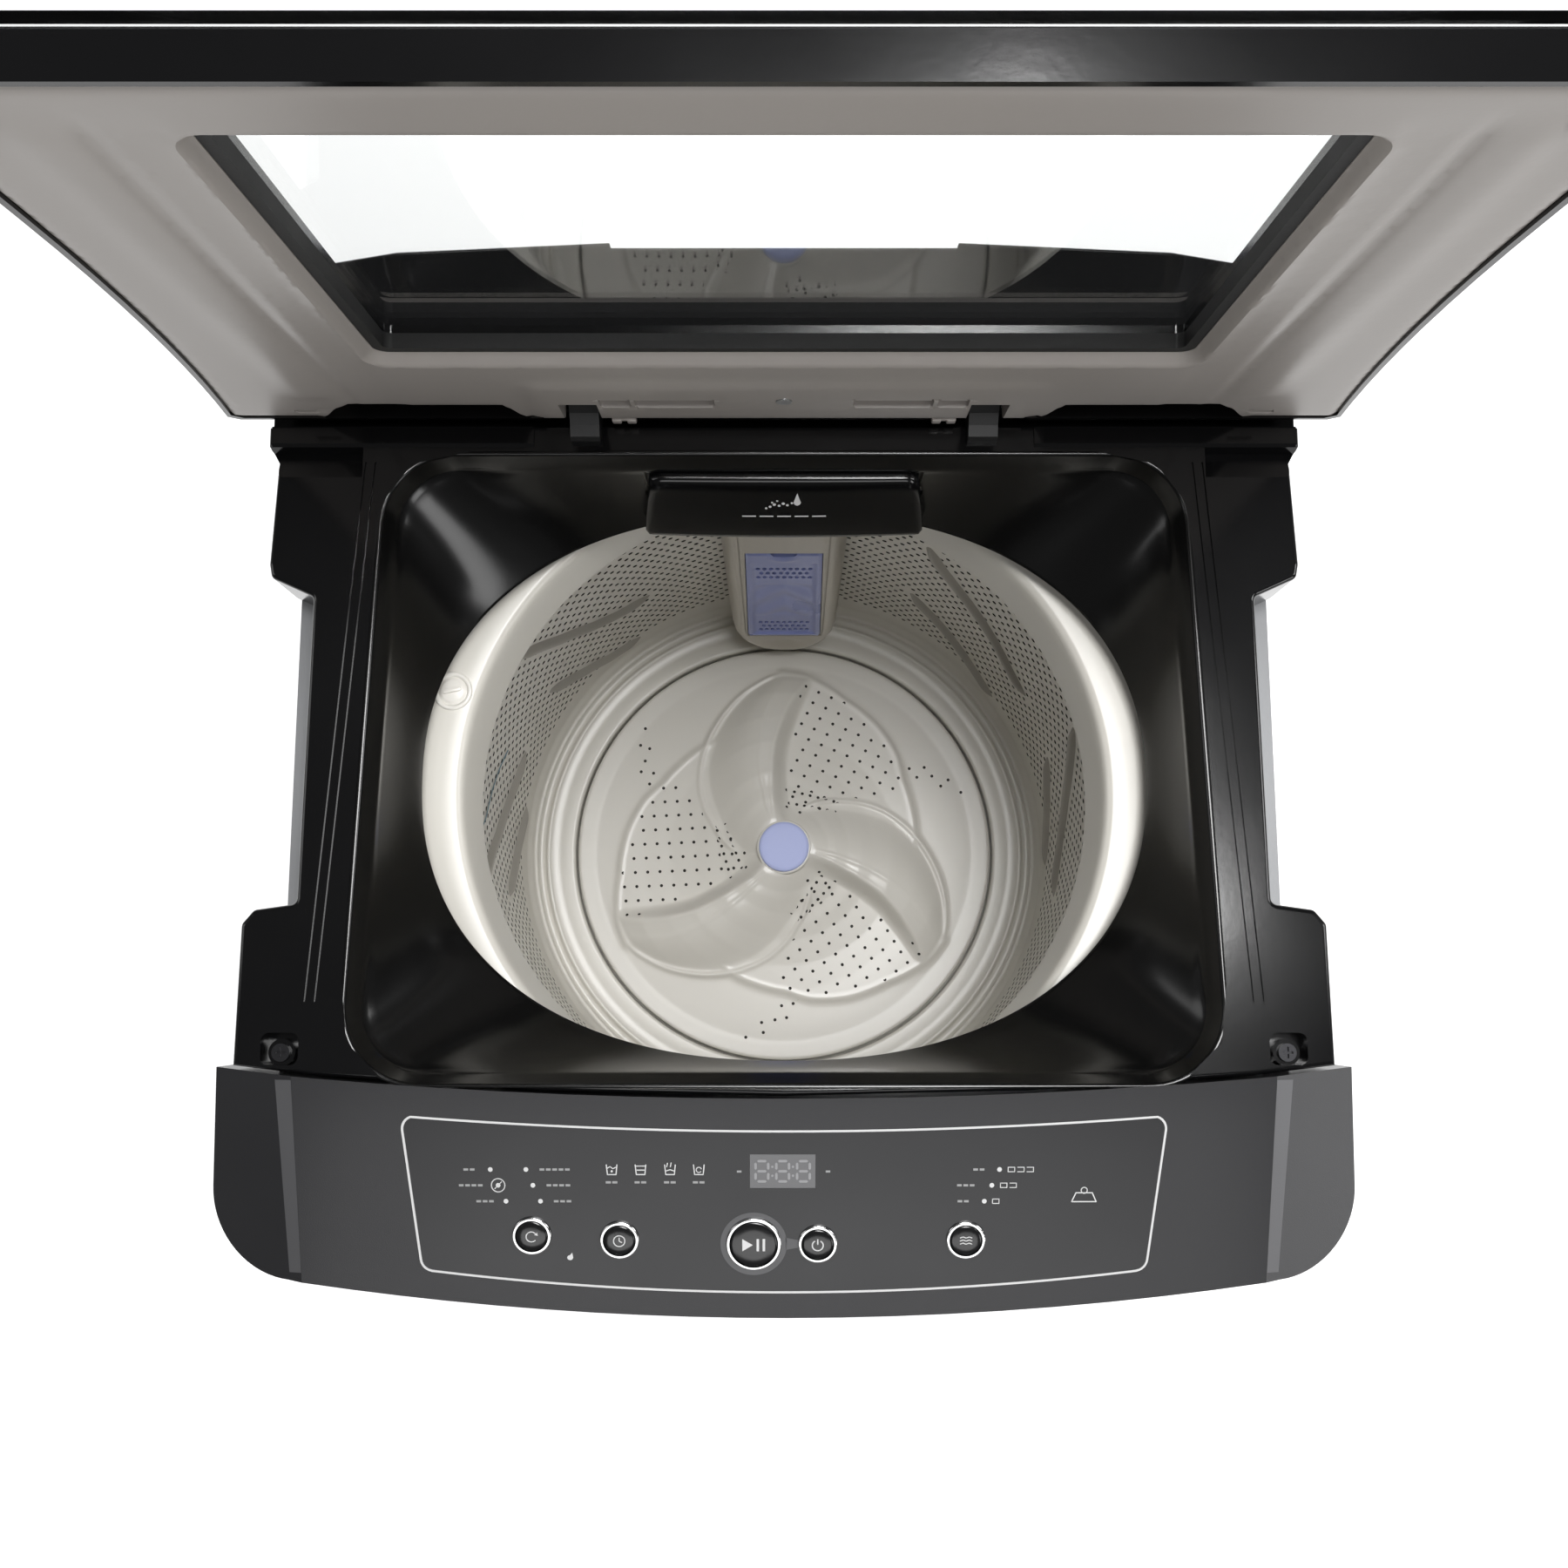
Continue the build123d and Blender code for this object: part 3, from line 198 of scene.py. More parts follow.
gb.inputs["Transmission Weight"].default_value = 1.0
gb.inputs["IOR"].default_value = 1.45
gtc = g.node_tree.nodes.new("ShaderNodeTexCoord")
gn = g.node_tree.nodes.new("ShaderNodeTexNoise")
gn.inputs["Scale"].default_value = 3.0
gm = g.node_tree.nodes.new("ShaderNodeMapRange")
gm.inputs[3].default_value = 0.0
gm.inputs[4].default_value = 0.02
g.node_tree.links.new(gtc.outputs["Object"], gn.inputs["Vector"])
g.node_tree.links.new(gn.outputs["Fac"], gm.inputs[0])
g.node_tree.links.new(gm.outputs[0], gb.inputs["Roughness"])
M["glass"] = g

NODE_MAT = {
    "base_frame": "base", "rubber_feet": "rubber", "foot_hardware": "steel", "cabinet_wrap": "cabinet", "back_panel": "cabinet",
    "case_screws": "dark_steel", "hanger_brackets": "steel", "suspension_rods": "steel", "top_cover": "black", "splash_funnel": "funnel",
    "rear_cover": "black", "hinge_brackets": "black_matte", "control_panel": "panel", "control_overlay": "overlay", "display_module": "display",
    "button_rings": "chrome", "control_board": "board", "dispenser_housing": "grey", "inlet_valve": "grey", "inlet_hose": "rubber",
    "sensors": "grey", "cord_gland": "rubber", "drain_outlet": "grey", "drain_hose": "hose", "outer_tub": "tub", "tub_cover": "tub",
    "tub_seal": "rubber", "suspension_springs": "steel", "mounting_plate": "steel", "gearcase": "cast", "shaft_bearings": "steel",
    "motor": "motor", "drive_belt": "rubber", "drain_valve": "grey", "drain_actuator": "grey", "basket_wall": "drum", "balance_ring": "ring",
    "ring_plug": "plug", "basket_base": "drum", "spin_shaft": "steel", "filter_housing": "spine", "lint_filter": "cassette",
    "pulsator": "plate", "pulsator_cap": "cap", "wash_shaft": "steel", "drive_pulley": "cast", "motor_rotor": "steel",
    "detergent_drawer": "grey", "drawer_front": "black", "lid_glass": "glass", "lid_frame": "black", "lid_liner": "liner",
    "lid_rubbers": "rubber", "lid_hardware": "steel"}
for name, o in NODES.items():
    key = NODE_MAT.get(name, "button")
    for slot_ in o.material_slots:
        slot_.material = M[key]
    if not o.material_slots:
        o.data.materials.append(M[key])


# ------------------------------------------------------------------ mesh helpers (mm in, metres out)
def add(name, verts, faces, mat, body, smooth=True, angle=35.0, matrix=None):
    me = bpy.data.meshes.new(name)
    v = np.asarray(verts, dtype=float) / 1000.0
    if matrix is not None:
        mm = np.array(matrix)
        v = v @ mm[:3, :3].T + mm[:3, 3]
    me.from_pydata(v.tolist(), [], [list(map(int, f)) for f in faces])
    me.validate()
    o = bpy.data.objects.new(name, me)
    bpy.context.collection.objects.link(o)
    me.materials.append(M[mat])
    if smooth:
        me.shade_smooth()
        if angle:
            me.set_sharp_from_angle(angle=math.radians(angle))
    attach(o, body)
    return o


def weld(o, dist=0.00001):
    bm = bmesh.new()
    bm.from_mesh(o.data)
    bmesh.ops.remove_doubles(bm, verts=bm.verts, dist=dist)
    bmesh.ops.recalc_face_normals(bm, faces=bm.faces)
    bm.to_mesh(o.data)
    bm.free()


def rows(rings, closed=True):
    """Faces between successive rings of equal count."""
    n = len(rings[0])
    v = [p for r in rings for p in r]
    f = []
    for i in range(len(rings) - 1):
        for k in range(n if closed else n - 1):
            a, b = i * n + k, i * n + (k + 1) % n
            f.append((a, b, b + n, a + n))
    return v, f


def revolve(profile, n=256, y=TY, x=0.0):
    return rows([[(x + r * math.cos(2 * math.pi * k / n), y + r * math.sin(2 * math.pi * k / n), z) for k in range(n)] for r, z in profile])


def arc(cx, cy, r, a0, a1, n):
    return [(cx + r * math.cos(math.radians(a0 + (a1 - a0) * k / n)), cy + r * math.sin(math.radians(a0 + (a1 - a0) * k / n))) for k in range(n + 1)]


def smoothstep(t):
    t = np.clip(t, 0, 1)
    return t * t * (3 - 2 * t)


def box_obj(name, x0, x1, y0, y1, z0, z1, mat, body, bevel=0.4, matrix=None, segments=2):
    bm = bmesh.new()
    bmesh.ops.create_cube(bm, size=1.0)
    for v in bm.verts:
        v.co = Vector(((x0 + x1) / 2 + v.co.x * (x1 - x0), (y0 + y1) / 2 + v.co.y * (y1 - y0), (z0 + z1) / 2 + v.co.z * (z1 - z0)))
    if bevel:
        bmesh.ops.bevel(bm, geom=bm.edges[:], offset=bevel, segments=segments, affect="EDGES", profile=0.5)
    vv = [tuple(v.co) for v in bm.verts]
    bm.verts.index_update()
    ff = [[v.index for v in f.verts] for f in bm.faces]
    bm.free()
    return add(name, vv, ff, mat, body, matrix=matrix)


def inside(poly, x, y):
    c = False
    n = len(poly)
    j = n - 1
    for i in range(n):
        xi, yi = poly[i]
        xj, yj = poly[j]
        if (yi > y) != (yj > y) and x < (xj - xi) * (y - yi) / (yj - yi) + xi:
            c = not c
        j = i
    return c


def inside_np(poly, pts):
    p = np.asarray(poly)
    x, y = pts[:, 0], pts[:, 1]
    c = np.zeros(len(pts), bool)
    j = len(p) - 1
    for i in range(len(p)):
        xi, yi = p[i]
        xj, yj = p[j]
        hit = ((yi > y) != (yj > y)) & (x < (xj - xi) * (y - yi) / (yj - yi + 1e-12) + xi)
        c ^= hit
        j = i
    return c


def seg_dist(pts, line):
    """Distance from points to an open polyline."""
    d = np.full(len(pts), 1e9)
    for (ax, ay), (bx, by) in zip(line[:-1], line[1:]):
        vx, vy = bx - ax, by - ay
        t = np.clip(((pts[:, 0] - ax) * vx + (pts[:, 1] - ay) * vy) / (vx * vx + vy * vy + 1e-12), 0, 1)
        d = np.minimum(d, np.hypot(pts[:, 0] - ax - t * vx, pts[:, 1] - ay - t * vy))
    return d


def dense(line, step, closed=False):
    out = []
    pts = list(line) + ([line[0]] if closed else [])
    for (ax, ay), (bx, by) in zip(pts[:-1], pts[1:]):
        n = max(1, int(math.ceil(math.hypot(bx - ax, by - ay) / step)))
        for k in range(n):
            out.append((ax + (bx - ax) * k / n, ay + (by - ay) * k / n))
    if not closed:
        out.append(pts[-1])
    return out


def cdt_sheet(outline, holes, lines, spacing):
    """Triangulated sheet: outline and holes are closed polygons, lines are extra creases."""
    pts, edges = [], []

    def put(poly, closed):
        s = len(pts)
        pts.extend(poly)
        n = len(poly)
        for i in range(n if closed else n - 1):
            edges.append((s + i, s + (i + 1) % n))
    put(outline, True)
    for h in holes:
        put(h, True)
    for l in lines:
        put(l, False)
    fixed = np.array(pts)
    x0, y0 = fixed.min(0)
    x1, y1 = fixed.max(0)
    gx, gy = np.meshgrid(np.arange(x0 + spacing / 2, x1, spacing), np.arange(y0 + spacing / 2, y1, spacing * 0.866))
    gx = gx + (np.arange(gx.shape[0]) % 2)[:, None] * spacing / 2
    grid = np.stack([gx.ravel(), gy.ravel()], 1)
    keep = inside_np(outline, grid)
    for h in holes:
        keep &= ~inside_np(h, grid)
    grid = grid[keep]
    # drop grid points that crowd the creases
    near = np.zeros(len(grid), bool)
    cell = {}
    for i, (x, y) in enumerate(fixed):
        cell.setdefault((int(x // spacing), int(y // spacing)), []).append(i)
    for i, (x, y) in enumerate(grid):
        cx, cy = int(x // spacing), int(y // spacing)
        for a in (cx - 1, cx, cx + 1):
            for b in (cy - 1, cy, cy + 1):
                for j in cell.get((a, b), ()):
                    if (fixed[j][0] - x) ** 2 + (fixed[j][1] - y) ** 2 < (spacing * 0.45) ** 2:
                        near[i] = True
    grid = grid[~near]
    allp = [Vector(p) for p in pts] + [Vector(p) for p in grid.tolist()]
    v, e, f, *_ = delaunay_2d_cdt(allp, edges, [], 0, 1e-5)
    v = np.array([tuple(p) for p in v])
    f = np.array([t for t in f if len(t) == 3])
    c = v[f].mean(1)
    ok = inside_np(outline, c)
    for h in holes:
        ok &= ~inside_np(h, c)
    f = f[ok]
    # counter-clockwise
    a, b, d = v[f[:, 0]], v[f[:, 1]], v[f[:, 2]]
    area = (b[:, 0] - a[:, 0]) * (d[:, 1] - a[:, 1]) - (b[:, 1] - a[:, 1]) * (d[:, 0] - a[:, 0])
    f[area < 0] = f[area < 0][:, ::-1]
    f = f[np.abs(area) > 1e-7]
    return v, f


def border(f):
    """Directed edges used once."""
    seen = {}
    for t in f:
        n = len(t)
        for i in range(n):
            a, b = int(t[i]), int(t[(i + 1) % n])
            if (b, a) in seen:
                del seen[(b, a)]
            else:
                seen[(a, b)] = True
    return list(seen)


# ------------------------------------------------------------------ splash funnel
def corner_arc(cx, cy, r, a0, n):
    return arc(cx, cy, r, a0, a0 + 90, n)


def rim(w_back, w_front, y_back, y_front, r, n=16):
    return (corner_arc(w_front - r, y_front + r, r, -90, n) + corner_arc(w_back - r, y_back - r, r, 0, n)
            + corner_arc(-w_back + r, y_back - r, r, 90, n) + corner_arc(-w_front + r, y_front + r, r, 180, n))


def sample(points, n):
    out = []
    p = np.array(points)
    q = np.roll(p, -1, 0)
    for k in range(n):
        t = 2 * math.pi * (k + 0.5) / n
        dx, dy = math.cos(t), math.sin(t)
        ax, ay = p[:, 0], p[:, 1] - LC
        bx, by = q[:, 0] - p[:, 0], q[:, 1] - p[:, 1]
        den = dx * by - dy * bx
        with np.errstate(divide="ignore", invalid="ignore"):
            u = (ax * by - ay * bx) / den
            w = (ax * dy - ay * dx) / den
        ok = (np.abs(den) > 1e-9) & (u > 0) & (w >= -1e-9) & (w <= 1 + 1e-9)
        best = u[ok].max()
        out.append((dx * best, LC + dy * best))
    return np.array(out)


FN = 420
lip_pts = []
for k in range(720):
    t = 2 * math.pi * k / 720
    c, s = math.cos(t), math.sin(t)
    lip_pts.append((196 * math.copysign(abs(c) ** (2 / 2.25), c), LC + 150 * math.copysign(abs(s) ** (2 / 2.25), s)))
A = sample(rim(206, 215, 157, -161.5, 37), FN)
B = sample(rim(201, 210, 153, -156.8, 33), FN)
C = sample(lip_pts, FN)


def mixr(p, q, t):
    return p * (1 - t) + q * t


def grow(p, g):
    d = np.hypot(p[:, 0], p[:, 1] - LC)[:, None]
    c = np.array([0, LC])
    return c + (p - c) * (d + g) / d


frows = [(grow(A, 2.3), DECK_Z - 0.9), (grow(A, 2.2), DECK_Z - 0.1), (grow(A, 1.6), DECK_Z), (grow(A, 0.6), DECK_Z - 0.05), (grow(A, 0.0), DECK_Z - 0.5)]
for t in (0.12, 0.5, 0.88):
    frows.append((mixr(A, B, t), DECK_Z - 0.5 - 9.2 * t))
frows += [(grow(B, 0.0), DECK_Z - 10.0), (grow(B, -0.5), DECK_Z - 11.2)]
ZR = [911.5, 908.0, 904.0, 899.0, 893.0, 887.0, 881.0, 875.0, 869.4, 866.0, 863.6, 862.4]
for z in ZR:
    t = (DECK_Z - 10.0 - z) / (DECK_Z - 10.0 - FUN_Z)
    bow = 1.6 * math.sin(math.pi * t)
    frows.append((grow(mixr(B, C, t), bow), z))
frows += [(grow(C, 0.4), FUN_Z + 0.05), (grow(C, 1.4), FUN_Z), (grow(C, 2.2), FUN_Z + 0.3), (grow(C, 2.4), FUN_Z + 1.2)]
for z in (866.0, 880.0, 898.0, 911.0):
    t = (DECK_Z - 10.0 - z) / (DECK_Z - 10.0 - FUN_Z)
    frows.append((grow(mixr(B, C, t), 1.6 * math.sin(math.pi * t) + 2.4), z))
frows += [(grow(B, 2.4), DECK_Z - 10.0), (grow(A, 2.35), DECK_Z - 2.0), (grow(A, 2.3), DECK_Z - 0.9)]
fv, ff = rows([[(x, y, z) for x, y in p] for p, z in frows])
fv = np.array(fv)
keep = []
for f in ff:
    c = fv[list(f)].mean(0)
    if abs(c[0]) < 73.5 and c[1] > 100 and 869.4 < c[2] < 911.5:
        continue
    keep.append(f)
funnel = add("splash_funnel_shell", fv, keep, "funnel", "cabinet", angle=50)
weld(funnel)
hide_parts("splash_funnel")

# ------------------------------------------------------------------ drum wall, perforated, with pressed ribs
BR = 202.0
NC = 156
cw = 360.0 / NC                     # cell width, degrees
CH = 7.3                            # cell height
Z0 = 512.0
NR = 38
# pressed ribs: (degrees, z) along each
RIBS = [
    [(149, 716), (145.9, 699), (140.4, 663), (132.7, 625), (126.6, 607), (119.0, 604)],
    [(148, 594), (144.9, 577), (139.2, 550), (132.5, 524), (124, 514)],
    [(62, 716), (59.2, 695), (53.8, 672), (46, 646), (35.5, 611), (30, 604)],
    [(62.5, 600), (59.6, 587), (52.9, 565), (43.9, 534), (36, 514)],
    [(18, 690), (13.6, 660), (7.4, 618), (1.1, 590), (-5, 574), (-12, 570)],
    [(17, 586), (12, 560), (4, 532), (-4, 516)],
    [(193, 690), (188, 662), (181, 622), (174, 596), (168, 580), (161, 574)],
    [(192, 590), (186, 560), (178, 532), (171, 516)],
    [(245, 716), (240, 695), (233, 660), (226, 622), (219, 606)], [(244, 594), (238, 560), (231, 528)],
    [(295, 716), (300, 695), (307, 660), (314, 622), (321, 606)], [(296, 594), (302, 560), (309, 528)],
]
RR = [[(math.radians(a) * BR, z) for a, z in r] for r in RIBS]
HALF = math.pi * BR


def rib_height(s, z):
    """Inward rise of the pressed ribs at arc length s and height z."""
    pts = np.stack([s, z], 1)
    h = np.zeros(len(pts))
    for r in RR:
        for off in (-2 * HALF, 0.0, 2 * HALF):
            line = [(a + off, b) for a, b in dense(r, 4.0)]
            lo = min(a for a, b in line) - 15
            hi = max(a for a, b in line) + 15
            m = (pts[:, 0] > lo) & (pts[:, 0] < hi)
            if not m.any():
                continue
            d = seg_dist(pts[m], line)
            h[m] = np.maximum(h[m], 5.0 * np.exp(-(d / 3.2) ** 2))
    return h


wall_pts, wall_faces, index = [], [], {}


def wp_(a, z):
    a = a % 360.0
    key = (round(a * 1000) % 360000, round(z * 1000))
    if key not in index:
        index[key] = len(wall_pts)
        wall_pts.append((a, z))
    return index[key]


hole_rims = []
HR = 1.7
for j in range(NR):
    z0, z1 = Z0 + j * CH, Z0 + (j + 1) * CH
    shift = 0.5 * (j % 2)
    for i in range(NC):
        a0 = (i + shift) * cw
        bound = [(a0, z0), (a0 + cw / 4, z0), (a0 + cw / 2, z0), (a0 + 3 * cw / 4, z0), (a0 + cw, z0), (a0 + cw, (z0 + z1) / 2), (a0 + cw, z1),
                 (a0 + 3 * cw / 4, z1), (a0 + cw / 2, z1), (a0 + cw / 4, z1), (a0, z1), (a0, (z0 + z1) / 2)]
        bi = [wp_(a, z) for a, z in bound]
        ca, cz = a0 + cw / 2, (z0 + z1) / 2
        s = math.radians(ca if ca < 270 else ca - 360) * BR
        near_rib = rib_height(np.array([s]), np.array([cz]))[0] > 0.35
        behind = abs(((ca - 90 + 180) % 360) - 180) < 12.5
        blank = (j >= NR - 3) or near_rib or behind or (j in (0,))
        if blank:
            wall_faces.append(bi)
            continue
        hi = []
        for (a, z) in bound:
            dx, dz = math.radians(a - ca) * BR, z - cz
            d = math.hypot(dx, dz)
            hi.append(len(wall_pts))
            wall_pts.append((ca + math.degrees(dx / d * HR / BR), cz + dz / d * HR))
        for k in range(12):
            wall_faces.append((bi[k], bi[(k + 1) % 12], hi[(k + 1) % 12], hi[k]))
        hole_rims.append(hi)
WA = np.array(wall_pts)
ang = np.where(WA[:, 0] < 270, WA[:, 0], WA[:, 0] - 360)
hgt = np.zeros(len(WA))
rad = BR - hgt
th = np.radians(WA[:, 0])
verts = list(np.stack([rad * np.cos(th), TY + rad * np.sin(th), WA[:, 1]], 1))
# each drum hole gets a short tube closed at the back by a dark cap: painted shade of the gap behind the wall
cups_v, cups_f = [], []
for hi in hole_rims:
    start = len(cups_v)
    for depth in (0.02, 1.7):
        for k in hi:
            cups_v.append(((rad[k] + depth) * math.cos(th[k]), TY + (rad[k] + depth) * math.sin(th[k]), WA[k, 1]))
    for k in range(12):
        cups_f.append((start + k, start + (k + 1) % 12, start + 12 + (k + 1) % 12, start + 12 + k))
    cups_f.append(tuple(start + 12 + k for k in range(12)))
NB = NC * 4
zt = Z0 + NR * CH


def plain_band(zs, top):
    """Rows that carry the wall on past the perforations."""
    rows_ = []
    edge = Z0 + NR * CH if top else Z0
    sh = (0.5 if (NR - 1) % 2 else 0.0) if top else 0.0
    first = []
    for k in range(NB):
        a = (k / 4.0 + sh) * cw
        first.append(wp_(a, edge))
    rows_.append(first)
    for r_, z in zs:
        cur = []
        for k in range(NB):
            a = math.radians((k / 4.0 + sh) * cw)
            cur.append(len(verts))
            verts.append((r_ * math.cos(a), TY + r_ * math.sin(a), z))
        rows_.append(cur)
    for p, q in zip(rows_[:-1], rows_[1:]):
        for k in range(NB):
            n_ = (k + 1) % NB
            wall_faces.append((p[k], p[n_], q[n_], q[k]) if top else (p[n_], p[k], q[k], q[n_]))


plain_band([(BR, zt + 4), (BR, 820), (BR, 835), (BR + 2, 835), (BR + 2, 812), (BR + 2, 700), (BR + 2, 497)], True)
plain_band([(BR, 504), (BR, 497), (BR + 2, 497)], False)
wall = add("drum_wall_perforated", np.array(verts), wall_faces, "drum", "basket", angle=40)
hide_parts("basket_wall")
cups = add("drum_wall_holes", cups_v, cups_f, "hole", "basket", smooth=False)

rib_v, rib_f = [], []
CS = [(-5.2, -0.35), (-4.4, 0.35), (-3.2, 1.6), (-2.0, 2.9), (-0.9, 3.7), (0.3, 4.0), (1.6, 3.7), (2.7, 2.8), (3.7, 1.5), (4.5, 0.35), (5.2, -0.35)]
for r_ in RR:
    # a smooth path through the rib's points
    pp = np.array(r_)
    t_ = np.concatenate([[0], np.cumsum(np.hypot(*np.diff(pp, axis=0).T))])
    tt = np.linspace(0, t_[-1], 60)
    xs, zs = np.interp(tt, t_, pp[:, 0]), np.interp(tt, t_, pp[:, 1])
    for _ in range(10):
        xs[1:-1] = (xs[:-2] + 2 * xs[1:-1] + xs[2:]) / 4
        zs[1:-1] = (zs[:-2] + 2 * zs[1:-1] + zs[2:]) / 4
    start = len(rib_v)
    n_ = len(xs)
    for i in range(n_):
        a0, a1 = max(0, i - 1), min(n_ - 1, i + 1)
        tx, tz = xs[a1] - xs[a0], zs[a1] - zs[a0]
        l_ = math.hypot(tx, tz)
        nx, nz = -tz / l_, tx / l_
        end = min(1.0, min(tt[i], tt[-1] - tt[i]) / 16.0)
        k_ = math.sin(end * math.pi / 2) ** 0.8
        for w_, h_ in CS:
            sx, sz = xs[i] + nx * w_ * (0.35 + 0.65 * k_), zs[i] + nz * w_ * (0.35 + 0.65 * k_)
            rr_ = BR - (h_ if h_ < 0 else h_ * k_ - 0.1 * (1 - k_))
            a_ = sx / BR
            rib_v.append((rr_ * math.cos(a_), TY + rr_ * math.sin(a_), sz))
    m_ = len(CS)
    for i in range(n_ - 1):
        for k in range(m_ - 1):
            q = start + i * m_ + k
            rib_f.append((q, q + 1, q + m_ + 1, q + m_))
# the ribs use the darker rib colour: painted shade of the pressed ribs on the light wall
ribs = add("drum_wall_ribs", rib_v, rib_f, "rib", "basket", angle=60)

# teal film strip on the left of the wall
tp = [(163.5, 632), (167.5, 641), (172.2, 650), (178.5, 662), (182.0, 680), (184.0, 698)]
tv, tf = [], []
for i, (a, z) in enumerate(tp):
    for dz in (-1.5, 1.5):
        tv.append(((BR - 0.25) * math.cos(math.radians(a)), TY + (BR - 0.25) * math.sin(math.radians(a)), z + dz))
    if i:
        k = 2 * i
        tf.append((k - 2, k, k + 1, k - 1))
strip = add("drum_wall_strip", tv, tf, "teal", "basket")

# ------------------------------------------------------------------ balance ring
prof = [(174.0, 808.0), (174.2, 812), (176.0, 838), (176.9, 843.5), (177.8, 846.6), (179.4, 848.4), (181.6, 849.0), (190, 849.3), (198, 849.2), (205.5, 848.9),
        (208.5, 848.0), (210.6, 846.0), (211.7, 842.5), (212.0, 838.0), (212.0, 810.0), (211.4, 808.2), (204.3, 808.0)]
prof_in = [(201.8, 808.0), (176.0, 807.9), (174.6, 807.9), (174.0, 808.0)]
v, f = revolve(prof, 320)
ringo = add("balance_ring_shell", v, f, "ring", "basket", angle=50)
v2, f2 = revolve(prof_in, 320)
ringi = add("balance_ring_underside", v2, f2, "ring", "basket", angle=50)
ringi.parent = ringi.parent
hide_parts("balance_ring")
# filling plug: a round recess edge, a cap and its grip bar
PA = math.radians(163.5)
pxc, pyc = 192 * math.cos(PA), TY + 192 * math.sin(PA)
v, f = revolve([(11.0, 849.0), (10.8, 850.2), (10.0, 850.7), (8.8, 850.6), (8.2, 849.9), (8.0, 849.4), (7.4, 849.5), (6.9, 850.2), (5.5, 850.6), (0.02, 850.7)], 48, y=pyc, x=pxc)
plug = add("ring_plug_cap", v, f, "plug", "basket", angle=50)
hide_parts("ring_plug")
bar = box_obj("ring_plug_grip", -5.0, 5.0, -1.1, 1.1, 850.4, 852.0, "plug", "basket", bevel=0.5,
              matrix=Matrix.Translation((pxc / 1000, pyc / 1000, 0)) @ Matrix.Rotation(math.radians(12), 4, "Z"))

# ------------------------------------------------------------------ drum floor ring with its bright grooves
prof = [(202.0, 500), (201.9, 497.2), (200.6, 494.6), (199.4, 492.6), (198.6, 490.8), (198.2, 489.0), (197.4, 487.6), (196.2, 487.3), (195.2, 487.6), (194.6, 486.6), (194.0, 485.0),
        (192.6, 484.4), (190.4, 484.4), (189.0, 485.0), (188.3, 486.6), (187.6, 487.7), (186.4, 488.0), (185.2, 487.6), (184.4, 487.0), (176, 487.0), (168, 487.0), (166.4, 486.8),
        (165.5, 486.0), (165.1, 484.6), (165.0, 480.0), (165.0, 474.5), (150, 469), (120, 465), (22, 465), (22, 460.5), (120, 460.5), (150, 463), (170, 471), (196, 477), (204.5, 481.5), (206, 484), (206, 499.8), (202.0, 500)]
v, f = revolve(prof, 320)
floor_ring = add("drum_floor", v, [tuple(reversed(q)) for q in f], "drum", "basket", angle=50)
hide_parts("basket_base")

# ------------------------------------------------------------------ wash plate: polar height field
ZB_R = [0, 20, 26, 34, 50, 70, 90, 110, 130, 148, 158, 161.5]
ZB_Z = [515, 514, 509.5, 504, 497, 492.2, 489.4, 488.0, 487.2, 486.6, 486.9, 487.0]
L_R, L_A = [20, 42, 60, 85.4, 102, 117.6, 131, 142.2, 148], [205, 177.3, 160, 141.7, 128.5, 115.7, 104.5, 93.2, 84]
I_R, I_A = [20, 25, 50, 73.5, 95, 111, 128, 142], [117, 114, 109, 105, 101, 97.8, 93, 88]
R_R, R_A = [20, 24.7, 50, 83.4, 110, 135.8, 142], [108, 107, 101.0, 95.5, 89.5, 83.7, 82]
O_A, O_R = [-30, -8, 10, 20, 31, 40, 54, 68, 83, 95], [96, 101, 106, 108, 111, 118.6, 126, 131.5, 143, 146]


